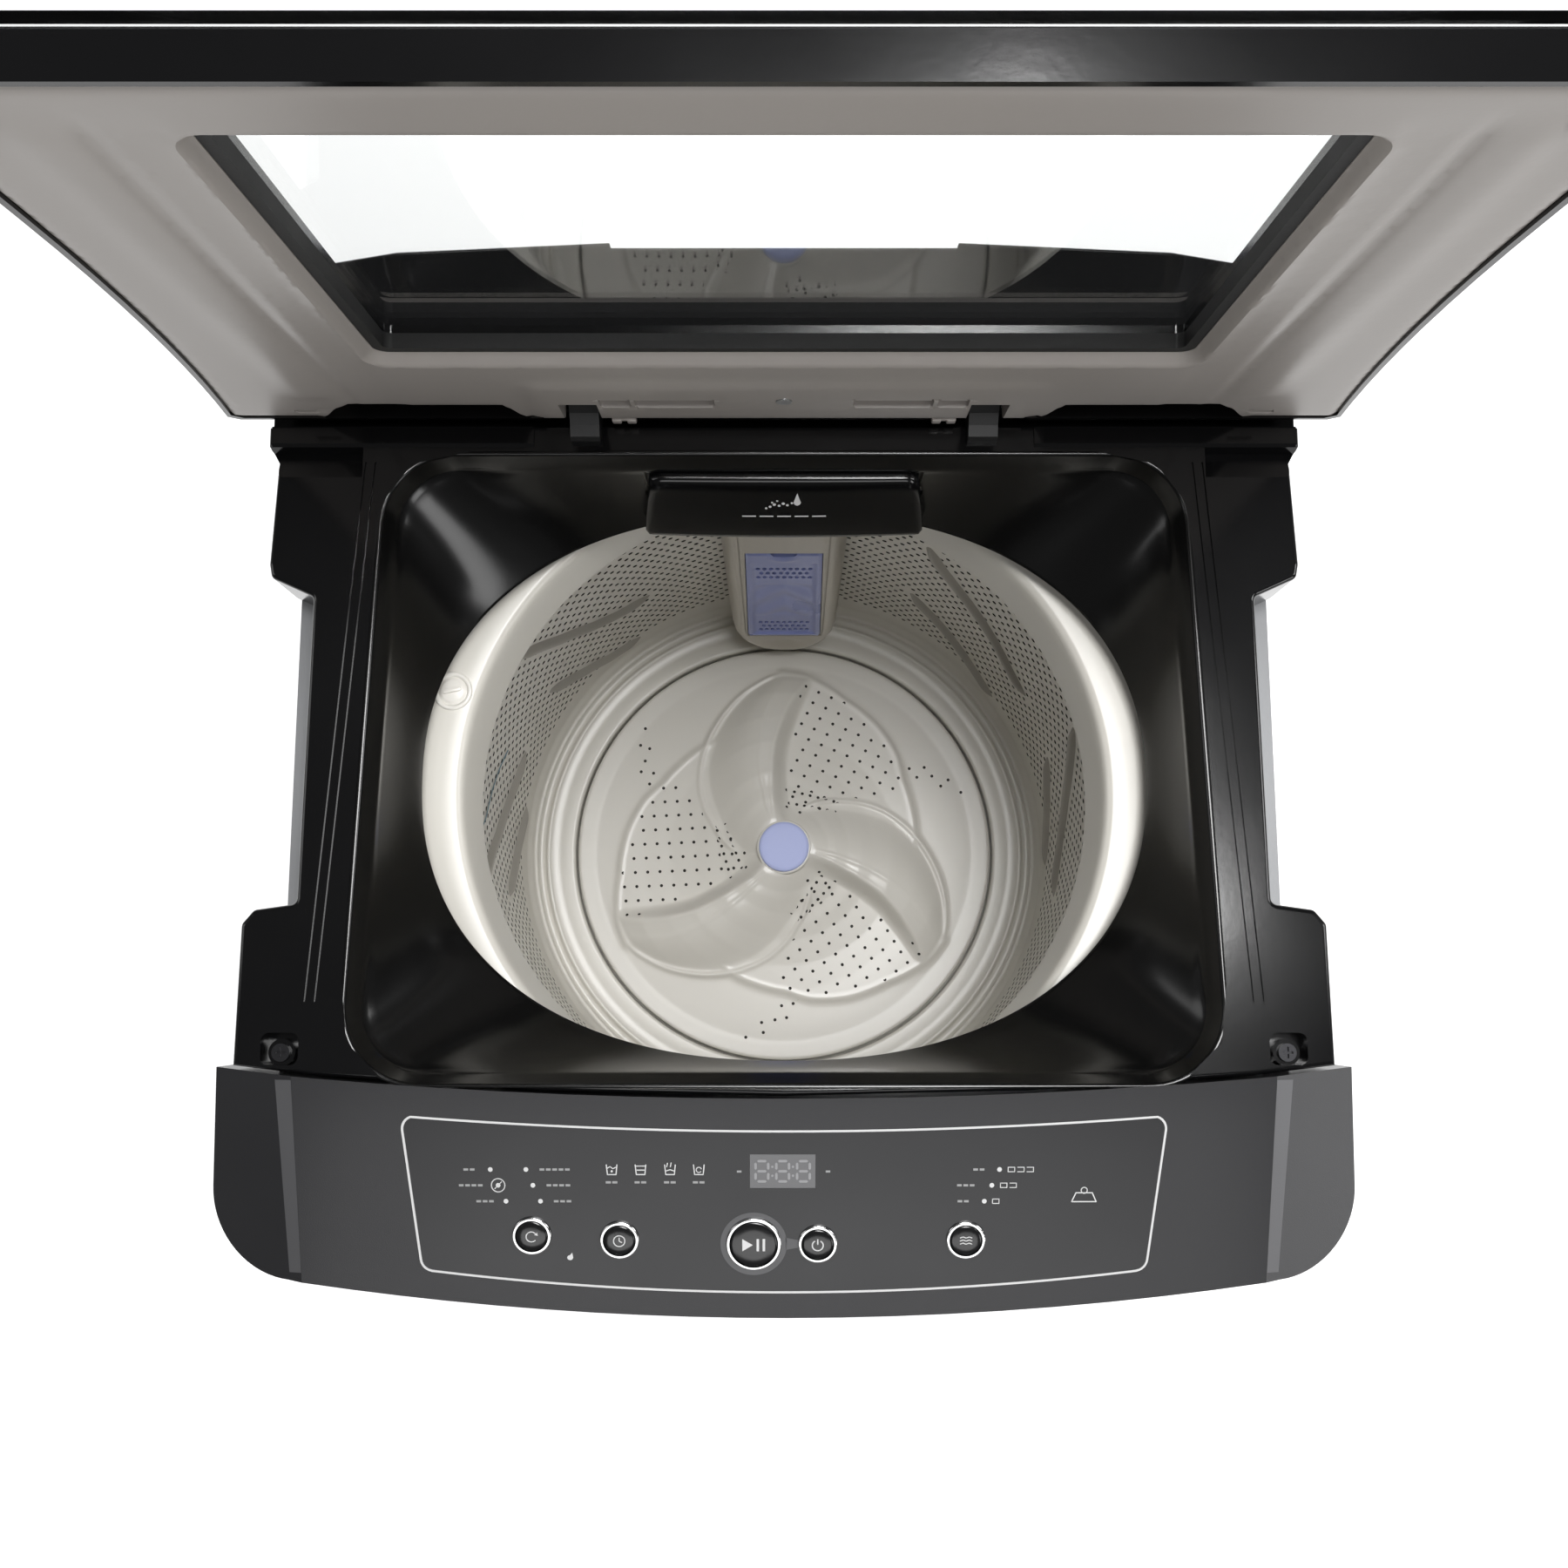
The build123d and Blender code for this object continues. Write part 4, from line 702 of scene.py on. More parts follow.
def plate_height(r, a):
    """Height of the wash plate's top at radius r and angle a in degrees, three-fold."""
    z = np.interp(r, ZB_R, ZB_Z)
    # angle folded so that the blade lies near 83..205
    al = np.interp(r, L_R, L_A)
    ai = np.interp(r, I_R, I_A)
    ar = np.interp(r, R_R, R_A)
    best = z.copy()
    crest = np.interp(r, [18, 24, 40, 60, 85, 105, 125, 138, 145], [5.0, 9.5, 16.5, 21.0, 21.5, 18.0, 11.5, 4.5, 0.0])
    for turn in (-240, -120, 0, 120, 240, 360):
        b = a - turn
        mid = (ai + ar) / 2
        k = np.pi / 180 * r
        # right flank: falls off within a few mm; top band; then the scoop to the left edge
        dr = (ar - b) * k                    # mm to the right of the band
        tl = np.clip((b - ai) / np.maximum(al - ai, 1e-3), -1, 2)
        right = np.where(dr > 0, np.exp(-(dr / 7.5) ** 2) * 0.94 + 0.06 * np.exp(-(dr / 26) ** 2), 1.0)
        scoop = np.where(tl > 0, (1 - smoothstep(tl * 1.0)) ** 0.9, 1.0)
        band = np.where((b > ar) & (b < ai), 1.0, 0.0)
        h = np.where(b <= ar, right, np.where(b < ai, 1.0, scoop * np.where(tl < 1, 1, 0)))
        # the two fine crease lines that bound the band
        crease = 0.9 * np.exp(-(((b - ai) * k) / 1.5) ** 2) + 0.7 * np.exp(-(((b - ar) * k) / 1.5) ** 2)
        dl = (b - al) * k
        lipz = 4.2 * np.exp(-(dl / 3.6) ** 2) * np.interp(r, [30, 45, 120, 141, 147], [0, 1, 1, 0.8, 0])
        step_ = 1.6 * smoothstep(np.clip(-dl / 9 + 0.2, 0, 1)) * np.where((b > ar) & (tl < 1.1), 1, 0) * np.interp(r, [30, 50, 138, 146], [0, 1, 1, 0])
        cand = z + crest * h + crease * np.interp(r, [22, 34, 120, 138], [0, 1, 0.8, 0]) + lipz - 0.0 * step_
        best = np.maximum(best, np.where((dr < 40) & (tl < 1.25), cand, z))
        # raised perforated sector to the right of the band
        bo = b
        ro = np.interp(bo, O_A, O_R)
        inang = (bo > -25) & (bo < 92)
        sec = 2.6 * smoothstep((ro - r) / 5.0 + 0.5) + 1.1 * np.exp(-((ro - r) / 2.4) ** 2)
        sec = sec * smoothstep((bo + 25) / 14.0) * np.interp(r, [22, 40, 60], [0, 0.6, 1.0])
        best = np.where(inang, np.maximum(best, z + sec), best)
    return best


NA, NRAD = 540, 150
radii = np.concatenate([np.linspace(20.6, 150, NRAD), np.array([153, 156, 158.5, 160.2, 161.2])])
aa = np.arange(NA) * 360.0 / NA
ringsP = []
for r in radii:
    z = plate_height(np.full(NA, r), aa)
    ringsP.append(np.stack([r * np.cos(np.radians(aa)), TY + r * np.sin(np.radians(aa)), z], 1))
Zg = np.array([q[:, 2] for q in ringsP])
# gentle smoothing of the field, as moulded plastic has
for _ in range(2):
    Zs = Zg.copy()
    Zs[1:-1] = (Zg[:-2] + 2 * Zg[1:-1] + Zg[2:]) / 4
    Zs = (np.roll(Zs, 1, 1) + 2 * Zs + np.roll(Zs, -1, 1)) / 4
    Zg[1:-3] = Zs[1:-3]
for i, q in enumerate(ringsP):
    q[:, 2] = Zg[i]
hub = [(17.6, 511.2), (17.6, 519.2), (18.0, 519.8), (19.2, 520.2), (20.4, 519.9), (21.0, 519.0)]
full = [[(r * math.cos(math.radians(x)), TY + r * math.sin(math.radians(x)), z) for x in aa] for r, z in hub]
full += [list(map(tuple, q)) for q in ringsP]
for r, z in [(162.3, 486.6), (163.0, 485.6), (163.0, 479.2), (160.0, 476.6), (120, 476), (60, 479), (30, 481), (8.1, 481)]:
    full.append([(r * math.cos(math.radians(x)), TY + r * math.sin(math.radians(x)), z) for x in aa])
v, f = rows(full)
plate = add("wash_plate", v, [tuple(reversed(q)) for q in f], "plate", "pulsator", angle=60)
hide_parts("pulsator")

# holes in the three sectors: small cups set flush in the surface, painted dark as the shade inside the holes
hv, hf = [], []


def surf(x, y):
    r, a = math.hypot(x, y), math.degrees(math.atan2(y, x)) % 360
    z = plate_height(np.array([r, r + .6, r]), np.array([a, a, a + math.degrees(.6 / max(r, 1))]))
    er = np.array([x / r, y / r, 0]) * .6
    et = np.array([-y / r, x / r, 0]) * .6
    n = np.cross(er + np.array([0, 0, z[1] - z[0]]), et + np.array([0, 0, z[2] - z[0]]))
    return z[0], n / np.linalg.norm(n)


SECTOR = [(-3, 28), (4, 60), (6, 100), (17, 140), (34, 131), (49, 121), (72, 98), (91, 75), (104, 56), (92, 46), (66, 40), (40, 34), (20, 27)]
TRAIL = [(100, 66), (106, 59), (112, 67), (118, 60), (125, 52), (131, 57), (141, 47)]
for turn in (0, -120, -240):
    pts = []
    for i in range(-14, 15):
        for j in range(-14, 16):
            x = 40 + i * 10.2 + j * 4.6
            y = 80 - i * 4.4 + j * 8.6
            if inside(SECTOR, x, y) and math.hypot(x, y) > 27:
                pts.append((x, y))
    for i in range(7):
        pts.append((2 + i * 6.2, 47 - i * 1.5))
        pts.append((4 + i * 6.0, 36 - i * 1.0))
    pts += TRAIL
    for x, y in pts:
        t = math.radians(turn)
        X, Y = x * math.cos(t) - y * math.sin(t), x * math.sin(t) + y * math.cos(t)
        z, n = surf(X, Y)
        n = Vector(n)
        u = n.orthogonal().normalized()
        w = n.cross(u)
        s = len(hv)
        c = Vector((X, TY + Y, z)) + n * 0.10
        hv.append(tuple(c - n * 0.05))
        for k in range(12):
            q = c + (u * math.cos(k * math.pi / 6) + w * math.sin(k * math.pi / 6)) * 1.25
            hv.append(tuple(q))
        for k in range(12):
            hf.append((s, s + 1 + k, s + 1 + (k + 1) % 12))
holes = add("wash_plate_holes", hv, hf, "hole", "pulsator", smooth=False)

# blue hub cap
v, f = revolve([(17.2, 516.0), (17.2, 520.4), (18.6, 521.0), (19.2, 521.8), (19.1, 522.7), (18.2, 523.5), (16.4, 524.0), (12, 524.0), (6, 523.9), (2, 523.85), (0.02, 523.84)], 96)
cap = add("hub_cap", v, f, "cap", "pulsator", angle=50)
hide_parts("pulsator_cap")

# ------------------------------------------------------------------ filter housing and cassette
FY0, FZ0, FLEAN = 151.0, 560.0, 0.0432


def fy(z):
    return FY0 + FLEAN * (z - FZ0)


def arch(n=1):
    """Front outline of the housing in (x, z)."""
    right = [(38, 806), (38, 700), (38, 620), (38, 572), (37, 558), (34.5, 546), (30.5, 535), (25, 525.5), (18.5, 518.5), (10, 514), (0, 512.5)]
    return right


outl = arch()
# smooth shell swept across: rounded front edges, sides running back to the wall
def back_y(x):
    return TY + math.sqrt(201.8 ** 2 - x * x)


hrings = []
full_outline = [(x, z) for x, z in outl] + [(-x, z) for x, z in reversed(outl[:-1])]
dn = dense(full_outline, 4.0)
cxz = (0.0, 660.0)
steps = [("back", 0.0), ("mid", 0.0), ("edge", 0.0), ("e1", 1.2), ("e2", 3.4), ("e3", 6.4), ("front", 9.0)]
for tag, ins in steps:
    ring_ = []
    for i, (x, z) in enumerate(dn):
        # inward normal of the outline
        p0, p1 = dn[max(0, i - 1)], dn[min(len(dn) - 1, i + 1)]
        tx, tz = p1[0] - p0[0], p1[1] - p0[1]
        l = math.hypot(tx, tz) or 1
        nx, nz = (tz / l, -tx / l)
        if nx * (0 - x) + nz * (640 - z) < 0:
            nx, nz = -nx, -nz
        zz = z + nz * ins
        if z > 800:
            zz = z
        xx = x + nx * ins
        flare_ = {"back": 5.0, "mid": 2.6, "edge": 0.4}.get(tag, 0.0) * min(1.0, max(0.0, (z - 512) / 40.0)) * (1 if xx > 0 else -1) * min(1.0, abs(xx) / 20.0)
        xx += flare_
        yy = {"back": back_y(xx) - 0.3, "mid": fy(zz) + 22, "edge": fy(zz) + 9.0, "e1": fy(zz) + 4.4, "e2": fy(zz) + 1.8, "e3": fy(zz) + 0.4, "front": fy(zz)}[tag]
        ring_.append((xx, min(yy, back_y(xx) - 0.3), zz))
    hrings.append(ring_)
v, f = rows(hrings, closed=False)
side = add("filter_housing_sides", v, f, "spine", "basket", angle=50)
inner_outline = [(p[0], p[2]) for p in hrings[-1]]
CZ0, CZ1, CX0, CX1 = 561.0, 745.0, 27.0, 24.6
win = [(-CX0 - .5, CZ0 - 2.0), (CX0 + .5, CZ0 - 2.0), (CX1 + .5, CZ1 + .5), (-CX1 - .5, CZ1 + .5)]
seams = [[(-29.5, 800), (-29.5, 556)], [(29.5, 800), (29.5, 556)]]
def seam_pts(sx):
    return dense([(sx * 29.6, 803), (sx * 29.6, 552), (sx * 24, 536)], 5)
v2, f2 = cdt_sheet(dense(inner_outline[::-1], 6, True), [dense(win, 6, True)], [], 3.0)
P = np.array(v2)
dd = np.minimum(seg_dist(P, seam_pts(1)), seg_dist(P, seam_pts(-1)))
yy = np.array([fy(z) for z in P[:, 1]]) + 0.9 * np.exp(-(dd / 1.3) ** 2)
# a shallow dish below the cassette
dish = np.hypot(P[:, 0] / 17.0, (P[:, 1] - 540) / 13.0)
yy += 2.0 * smoothstep(1.15 - dish)
frontv = np.stack([P[:, 0], yy, P[:, 1]], 1)
edges = border(f2)
vv = list(map(tuple, frontv))
fc = [tuple(t) for t in f2]
hole_edges = [(a, b) for a, b in edges if abs(P[a, 0]) < CX0 + 1.2 and CZ0 - 2.8 < P[a, 1] < CZ1 + 1.2 and abs(P[b, 0]) < CX0 + 1.2 and CZ0 - 2.8 < P[b, 1] < CZ1 + 1.2]
mp = {}
for a, b in hole_edges:
    for k in (a, b):
        if k not in mp:
            mp[k] = len(vv)
            vv.append((frontv[k][0], frontv[k][1] + 9.0, frontv[k][2]))
    fc.append((b, a, mp[a], mp[b]))
face = add("filter_housing_front", vv, fc, "spine", "basket", angle=50)
weld(face)
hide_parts("filter_housing")
top = add("filter_housing_top", [(-38, back_y(38) - .3, 806), (38, back_y(38) - .3, 806), (30, fy(806) + .4, 806), (-30, fy(806) + .4, 806), (0, back_y(0) - .3, 806)],
          [(3, 2, 1, 4, 0)], "spine", "basket", smooth=False)

# cassette: framed panel with a thumb tab, two perforated bands and diagonal relief
def cw_at(z):
    return CX0 + (CX1 - CX0) * (z - CZ0) / (CZ1 - CZ0)


cas_out = [(-cw_at(CZ0) + 3, CZ0), (cw_at(CZ0) - 3, CZ0), (cw_at(CZ0 + 3), CZ0 + 3), (cw_at(CZ1 - 10), CZ1 - 10), (cw_at(CZ1) + .2, CZ1 - 3), (cw_at(CZ1) - 1, CZ1), (9, CZ1), (6.5, CZ1 - 4), (-6.5, CZ1 - 4),
           (-9, CZ1), (-cw_at(CZ1) + 1, CZ1), (-cw_at(CZ1) - .2, CZ1 - 3), (-cw_at(CZ1 - 10), CZ1 - 10), (-cw_at(CZ0 + 3), CZ0 + 3)]
ph = []
for row_i, z in enumerate((712, 703.5, 695)):
    n = 9 if row_i % 2 == 0 else 8
    for k in range(n):
        ph.append(((k - (n - 1) / 2) * 4.3, z))
for row_i, z in enumerate((592, 583, 574)):
    n = 9 if row_i % 2 == 0 else 8
    for k in range(n):
        ph.append(((k - (n - 1) / 2) * 4.3, z))
choles = [[(x + 1.55 * math.cos(t * math.pi / 5), z + 2.7 * math.sin(t * math.pi / 5)) for t in range(10)] for x, z in ph]
v3, f3 = cdt_sheet(dense(cas_out, 3, True), choles, [], 2.2)
P = np.array(v3)
x, z = P[:, 0], P[:, 1]
w_ = CX0 + (CX1 - CX0) * (z - CZ0) / (CZ1 - CZ0)
y = np.array([fy(q) for q in z]) - 0.6
edge_d = np.minimum(np.minimum(w_ - np.abs(x), z - CZ0), CZ1 - z)
y += 1.1 * smoothstep(1 - edge_d / 1.6)
frame_in = np.minimum(np.minimum(w_ - 3.6 - np.abs(x), z - CZ0 - 5), CZ1 - 17 - z)
y += 1.7 * smoothstep(frame_in / 1.8)
mid = (np.abs(z - 645) < 38)
wave = np.sin((z - 645) * 0.17 + np.abs(x) * 0.23)
y += np.where(mid, 0.9 * wave * smoothstep((38 - np.abs(z - 645)) / 8) * smoothstep(frame_in / 5), 0)
tab = np.hypot(x / 9.0, (z - (CZ1 - 9)) / 5.0)
y -= 1.5 * smoothstep(1.25 - tab)
cv = list(map(tuple, np.stack([x, y, z], 1)))
cf = [tuple(t) for t in f3]
mp = {}
for a, b in border(f3):
    for k in (a, b):
        if k not in mp:
            mp[k] = len(cv)
            deep = 9.0 if edge_d[k] < 0.6 else 3.0
            cv.append((cv[k][0], fy(cv[k][2]) + deep, cv[k][2]))
    cf.append((b, a, mp[a], mp[b]))
cas = add("lint_cassette", cv, cf, "cassette", "lint_filter", angle=40)
weld(cas)
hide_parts("lint_filter")
# a dark sheet behind the cassette's holes: painted shadow inside the housing
backp = add("lint_cassette_shadow_sheet", [(-cw_at(CZ0) + 1, fy(CZ0) + 8.6, CZ0 + 1), (cw_at(CZ0) - 1, fy(CZ0) + 8.6, CZ0 + 1), (cw_at(CZ1) - 1, fy(CZ1) + 8.6, CZ1 - 5), (-cw_at(CZ1) + 1, fy(CZ1) + 8.6, CZ1 - 5)],
            [(0, 1, 2, 3)], "cassette_dark", "lint_filter", smooth=False)

# ------------------------------------------------------------------ detergent drawer front
def drawer_front():
    prof = [(153.8, 871.2), (153.8, 909.6), (152.4, 911.6), (150.2, 912.3), (148.2, 911.8), (146.6, 910.2), (143.6, 903.6), (140.4, 896.2), (137.0, 888.0), (134.0, 880.6), (131.8, 875.0), (131.2, 872.6),
            (131.8, 871.0), (133.6, 870.5), (142, 870.5)]
    rings_ = []
    N = 72
    for k in range(N + 1):
        t = -1 + 2 * k / N
        ring_ = []
        for y, z in prof:
            half = 76.0 - 5.4 * (z - 870.5) / 41.8
            # rounded top corners and soft ends
            e = 1 - abs(t)
            xx = t * half
            zz = z
            dxe = half - abs(xx)
            if dxe < 7 and z > 905:
                zz = z - (7 - dxe) ** 2 / 14.0 * ((z - 905) / 7.3)
            yy = y
            if y < 152:
                bow = 1.6 * (1 - t * t)
                yy = y - bow * smoothstep(np.array((152 - y) / 18.0)).item() + (2.6 * (1 - min(1.0, dxe / 3.0)) ** 2)
            ring_.append((xx, yy, zz))
        rings_.append(ring_)
    v, f = rows(rings_, closed=True)
    n = len(prof)
    f.append(tuple(range(n)))
    f.append(tuple(reversed(range(len(v) - n, len(v)))))
    return v, f


v, f = drawer_front()
dfront = add("drawer_front_cover", v, f, "black", "drawer", angle=40)
weld(dfront)
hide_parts("drawer_front")


def on_front(x, s):
    """A point just off the drawer's face: s is 0 at the bottom, 1 at the top."""
    y0, z0, y1, z1 = 131.8, 875.0, 146.6, 910.2
    t = x / 76.0
    yb = y0 + (y1 - y0) * s
    bow = 1.6 * (1 - t * t) * smoothstep(np.array((152 - yb) / 18.0)).item()
    return (x, yb - bow - 0.75, z0 + (z1 - z0) * s + 0.3)


mv, mf = [], []


def blob(points):
    s = len(mv)
    mv.extend(points)
    mf.append(tuple(range(s, s + len(points))))


for x, s, r in [(-9.5, .57, .7), (-7.4, .60, .8), (-5.2, .64, .9), (-2.6, .62, .8), (-0.4, .66, .9), (1.8, .63, .8), (-6.3, .68, .6), (-3.6, .71, .6), (4.2, .67, .7)]:
    blob([on_front(x + r * math.cos(q * math.pi / 6), s + r / 38 * math.sin(q * math.pi / 6)) for q in range(12)])
drop = [(7.0, .62), (8.4, .64), (9.0, .68), (8.4, .73), (7.6, .80), (7.1, .86), (6.4, .80), (5.6, .73), (5.1, .68), (5.6, .64)]
blob([on_front(x, s) for x, s in drop])
for k in range(5):                       # a plain row of dashes under the drops
    x0 = -22.5 + k * 9.4
    blob([on_front(x0, .40), on_front(x0 + 7.4, .40), on_front(x0 + 7.4, .425), on_front(x0, .425)])
marks = add("drawer_marks", mv, mf, "print", "drawer", smooth=False)

# ------------------------------------------------------------------ lid liner
LM = Matrix.Translation((0, LID_HY / 1000, LID_HZ / 1000)) @ Matrix.Rotation(math.radians(-LID_OPEN), 4, "X")
LX, LY0, LY1 = 262.3, -LID_L + 4.2, 3.4
WX, WY0, WY1 = 185.0, -83.0, -297.0


def side_x(y):
    """Half width of the liner at y: straight at the front, flared towards the hinge."""
    return LX + 18.5 * (np.clip(np.asarray(y, dtype=float) + 240.0, 0, None) / 238.0) ** 2


def half_outline():
    pts = arc(LX - 8, LY0 + 8, 8, -90, 0, 8)
    pts += [(float(side_x(y)), float(y)) for y in (-240, -200, -160, -120, -90, -60, -40, -20, -6)]
    xb = float(side_x(-2.0))
    pts += [(xb, -2.2), (xb - 1.0, 1.2), (xb - 4.6, 3.4)]
    pts += [(240, 3.4), (236.5, 2.8), (233.8, 1.0), (231.4, -2.2), (228.8, -6.4), (226.2, -10.8), (223.6, -14.2), (220.6, -16.4), (217.0, -17.0),
            (141.0, -17.0), (138.4, -16.2), (136.6, -13.4), (135.2, -9.0), (133.4, -3.4), (131.2, 1.0), (128.0, 3.4),
            (111.5, 3.4), (111.5, -24.0), (92.5, -24.0), (92.5, 3.4)]
    return pts


ho = half_outline()
outline = [(0, LY0)] + ho + [(0, LY1)] + [(-x, y) for x, y in reversed(ho)]
outline = dense(outline, 5, True)
wc = 7.0
window = arc(WX - wc, WY1 + wc, wc, -90, 0, 6) + arc(WX - wc, WY0 - wc, wc, 0, 90, 6) + arc(-WX + wc, WY0 - wc, wc, 90, 180, 6) + arc(-WX + wc, WY1 + wc, wc, 180, 270, 6)
window = dense(window, 5, True)


def rbox(x0, x1, y0, y1, r=1.5):
    return arc(x1 - r, y0 + r, r, -90, 0, 3) + arc(x1 - r, y1 - r, r, 0, 90, 3) + arc(x0 + r, y1 - r, r, 90, 180, 3) + arc(x0 + r, y0 + r, r, 180, 270, 3)


creases = []
pockets = []
for s in (-1, 1):
    for a, b, y0, y1, d in ((75.5, 91.0, -31, -19, 6.0), (34, 73.5, -31, -19, 6.5), (233.5, 246.5, -10.0, -5.6, 3.6)):
        x0, x1 = sorted((s * a, s * b))
        pockets.append((x0, x1, y0, y1, d))
        creases.append(dense(rbox(x0, x1, y0, y1), 3, True))
        creases.append(dense(rbox(x0 + .9, x1 - .9, y0 + .9, y1 - .9, 1.0), 3, True))


def rr_ring(g):
    x, y0, y1, r = WX + g, WY1 - g, WY0 + g, wc + g
    return dense(arc(x - r, y0 + r, r, -90, 0, 8) + arc(x - r, y1 - r, r, 0, 90, 8) + arc(-x + r, y1 - r, r, 90, 180, 8) + arc(-x + r, y0 + r, r, 180, 270, 8), 5, True)


def sd_rr(P, g):
    """Signed distance outward from the window outline grown by g."""
    x, y0, y1, r = WX + g, WY1 - g, WY0 + g, max(wc + g, 1)
    cx, cy = 0.0, (y0 + y1) / 2
    hx, hy = x - r, (y1 - y0) / 2 - r
    qx, qy = np.abs(P[:, 0] - cx) - hx, np.abs(P[:, 1] - cy) - hy
    return np.hypot(np.maximum(qx, 0), np.maximum(qy, 0)) + np.minimum(np.maximum(qx, qy), 0) - r


for gr in (1.6, 3.2, 4.8, 7.0):
    ring_ = rr_ring(gr)
    creases.append(ring_ + [ring_[0]])
for xl in (203, 206, 209, 211.5, 214, 217, 220, 223.5, 227, 231, 235, 239, 243, 247.5, 252):
    for sg in (-1, 1):
        lo, hi = LY0 + 9, (-24 if xl < 230 else -14)
        creases.append(dense([(sg * xl, lo), (sg * xl, hi)], 5))
# the slots' and pockets' creases must stay inside the outline
v4, f4 = cdt_sheet(outline, [window], creases, 4.2)
P = np.array(v4)
x, y = P[:, 0], P[:, 1]
sdw = sd_rr(P, 0)
n = np.full(len(P), -11.0)
# bevel at the window
n += 5.2 * smoothstep(1 - sdw / 4.6) * (sdw < 4.7)
# a valley and a broad crown run straight beside the window
ax_ = np.abs(x)
along = smoothstep((y - (LY0 + 10)) / 26.0) * smoothstep((-15 - y) / 9.0 * (ax_ < 226) + (ax_ >= 226) * (-4 - y) / 12.0)
n += 1.7 * np.exp(-((ax_ - 213.0) / 4.2) ** 2) * along
n -= 1.6 * np.exp(-((ax_ - 231.0) / 8.5) ** 2) * along * smoothstep((-26 - y) / 12.0)
n += 0.9 * smoothstep((sdw - 5.5) / 3.0) * smoothstep((209 - ax_) / 5.0) * smoothstep((ax_ - WX - 1) / 4.0) * along
# pad between the brackets
padx = smoothstep((128 - np.abs(x)) / 8.0)
n -= 1.3 * padx * smoothstep((y + 62) / 16.0)
# soft outer edge
oe = np.minimum.reduce([side_x(y) - np.abs(x), y - LY0, LY1 - y])
n += 1.8 * (1 - smoothstep(oe / 3.0))
# hinge-side edge roll
n += 1.2 * (1 - smoothstep((seg_dist(P, dense([(217, -17), (141, -17)], 4))) / 3.0)) + 1.2 * (1 - smoothstep((seg_dist(P, dense([(-217, -17), (-141, -17)], 4))) / 3.0))
for x0, x1, y0, y1, d in pockets:
    dx = np.minimum(x - x0, x1 - x)
    dy = np.minimum(y - y0, y1 - y)
    ins = np.minimum(dx, dy)
    n += d * smoothstep(ins / 0.9) * (ins > 0)
lv = list(map(tuple, np.stack([x, y, n], 1)))
# seen from the underside: reverse the faces
lf = [tuple(reversed(t)) for t in f4]
mp = {}
for a, b in border(f4):
    for k in (a, b):
        if k not in mp:
            mp[k] = len(lv)
            lv.append((lv[k][0], lv[k][1], 1.35))
    lf.append((a, b, mp[b], mp[a]))
liner = add("lid_liner_shell", lv, lf, "liner", "lid", angle=38, matrix=LM)
weld(liner)
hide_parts("lid_liner")
# hinge knuckles and the two-pronged tabs
for s in (-1, 1):
    for a, b in ((80.2, 92.3), (111.7, 123.8)):
        x0, x1 = sorted((s * a, s * b))
        k_ = box_obj("lid_knuckle_%d_%d" % (s + 1, int(a)), x0, x1, -6.5, 6.2, -10.5, 4.8, "liner", "lid", bevel=1.2, matrix=LM, segments=3)
    for a, b in ((75.6, 80.4), (83.2, 88.0)):
        x0, x1 = sorted((s * a, s * b))
        k_ = box_obj("lid_tab_%d_%d" % (s + 1, int(a)), x0, x1, 3.0, 8.0, -12.8, -6.0, "liner", "lid", bevel=0.7, matrix=LM)
    x0, x1 = sorted((s * 75.6, s * 88.0))
    k_ = box_obj("lid_tab_web_%d" % (s + 1), x0, x1, 2.8, 5.4, -12.2, -6.4, "liner", "lid", bevel=0.6, matrix=LM)

# ------------------------------------------------------------------ control panel graphics
TANS = math.tan(SLOPE)


def pan(x, y, lift=-0.16):
    return (x, y, PAN_Z + (y - PAN_Y) * TANS + lift)


def flat_marks(name, polys, mat, body="cabinet"):
    v, f = [], []
    for p in polys:
        s = len(v)
        v.extend(p)
        f.append(tuple(range(s, s + len(p))))
    o = add(name, v, f, mat, body, smooth=False)
    # all marks face up
    bm = bmesh.new()
    bm.from_mesh(o.data)
    bm.normal_update()
    for fa in bm.faces:
        if fa.normal.z < 0:
            fa.normal_flip()
    bm.to_mesh(o.data)
    bm.free()
    return o


def disc(x, y, r, n=20, lift=-0.16):
    return [pan(x + r * math.cos(2 * math.pi * k / n), y + r * math.sin(2 * math.pi * k / n), lift) for k in range(n)]


def bar_(x0, x1, y0, y1, lift=-0.16):
    return [pan(x0, y0, lift), pan(x1, y0, lift), pan(x1, y1, lift), pan(x0, y1, lift)]


def stroke(points, w, lift=-0.16, closed=False):
    """Quads along a plan polyline, w wide."""
    out = []
    pts = list(points) + ([points[0]] if closed else [])
    for (ax, ay), (bx, by) in zip(pts[:-1], pts[1:]):
        l = math.hypot(bx - ax, by - ay) or 1
        nx, ny = -(by - ay) / l * w / 2, (bx - ax) / l * w / 2
        ex, ey = (bx - ax) / l * w * 0.3, (by - ay) / l * w * 0.3
        out.append([pan(ax + nx - ex, ay + ny - ey, lift), pan(ax - nx - ex, ay - ny - ey, lift), pan(bx - nx + ex, by - ny + ey, lift), pan(bx + nx + ex, by + ny + ey, lift)])
    return out


def end_pt(x, y, lift):
    """A point on the panel's end facet."""
    z = PAN_Z + (y - PAN_Y) * TANS - 0.30 / math.cos(SLOPE) * (abs(x) - 238.5)
    return (x, y, z + lift)
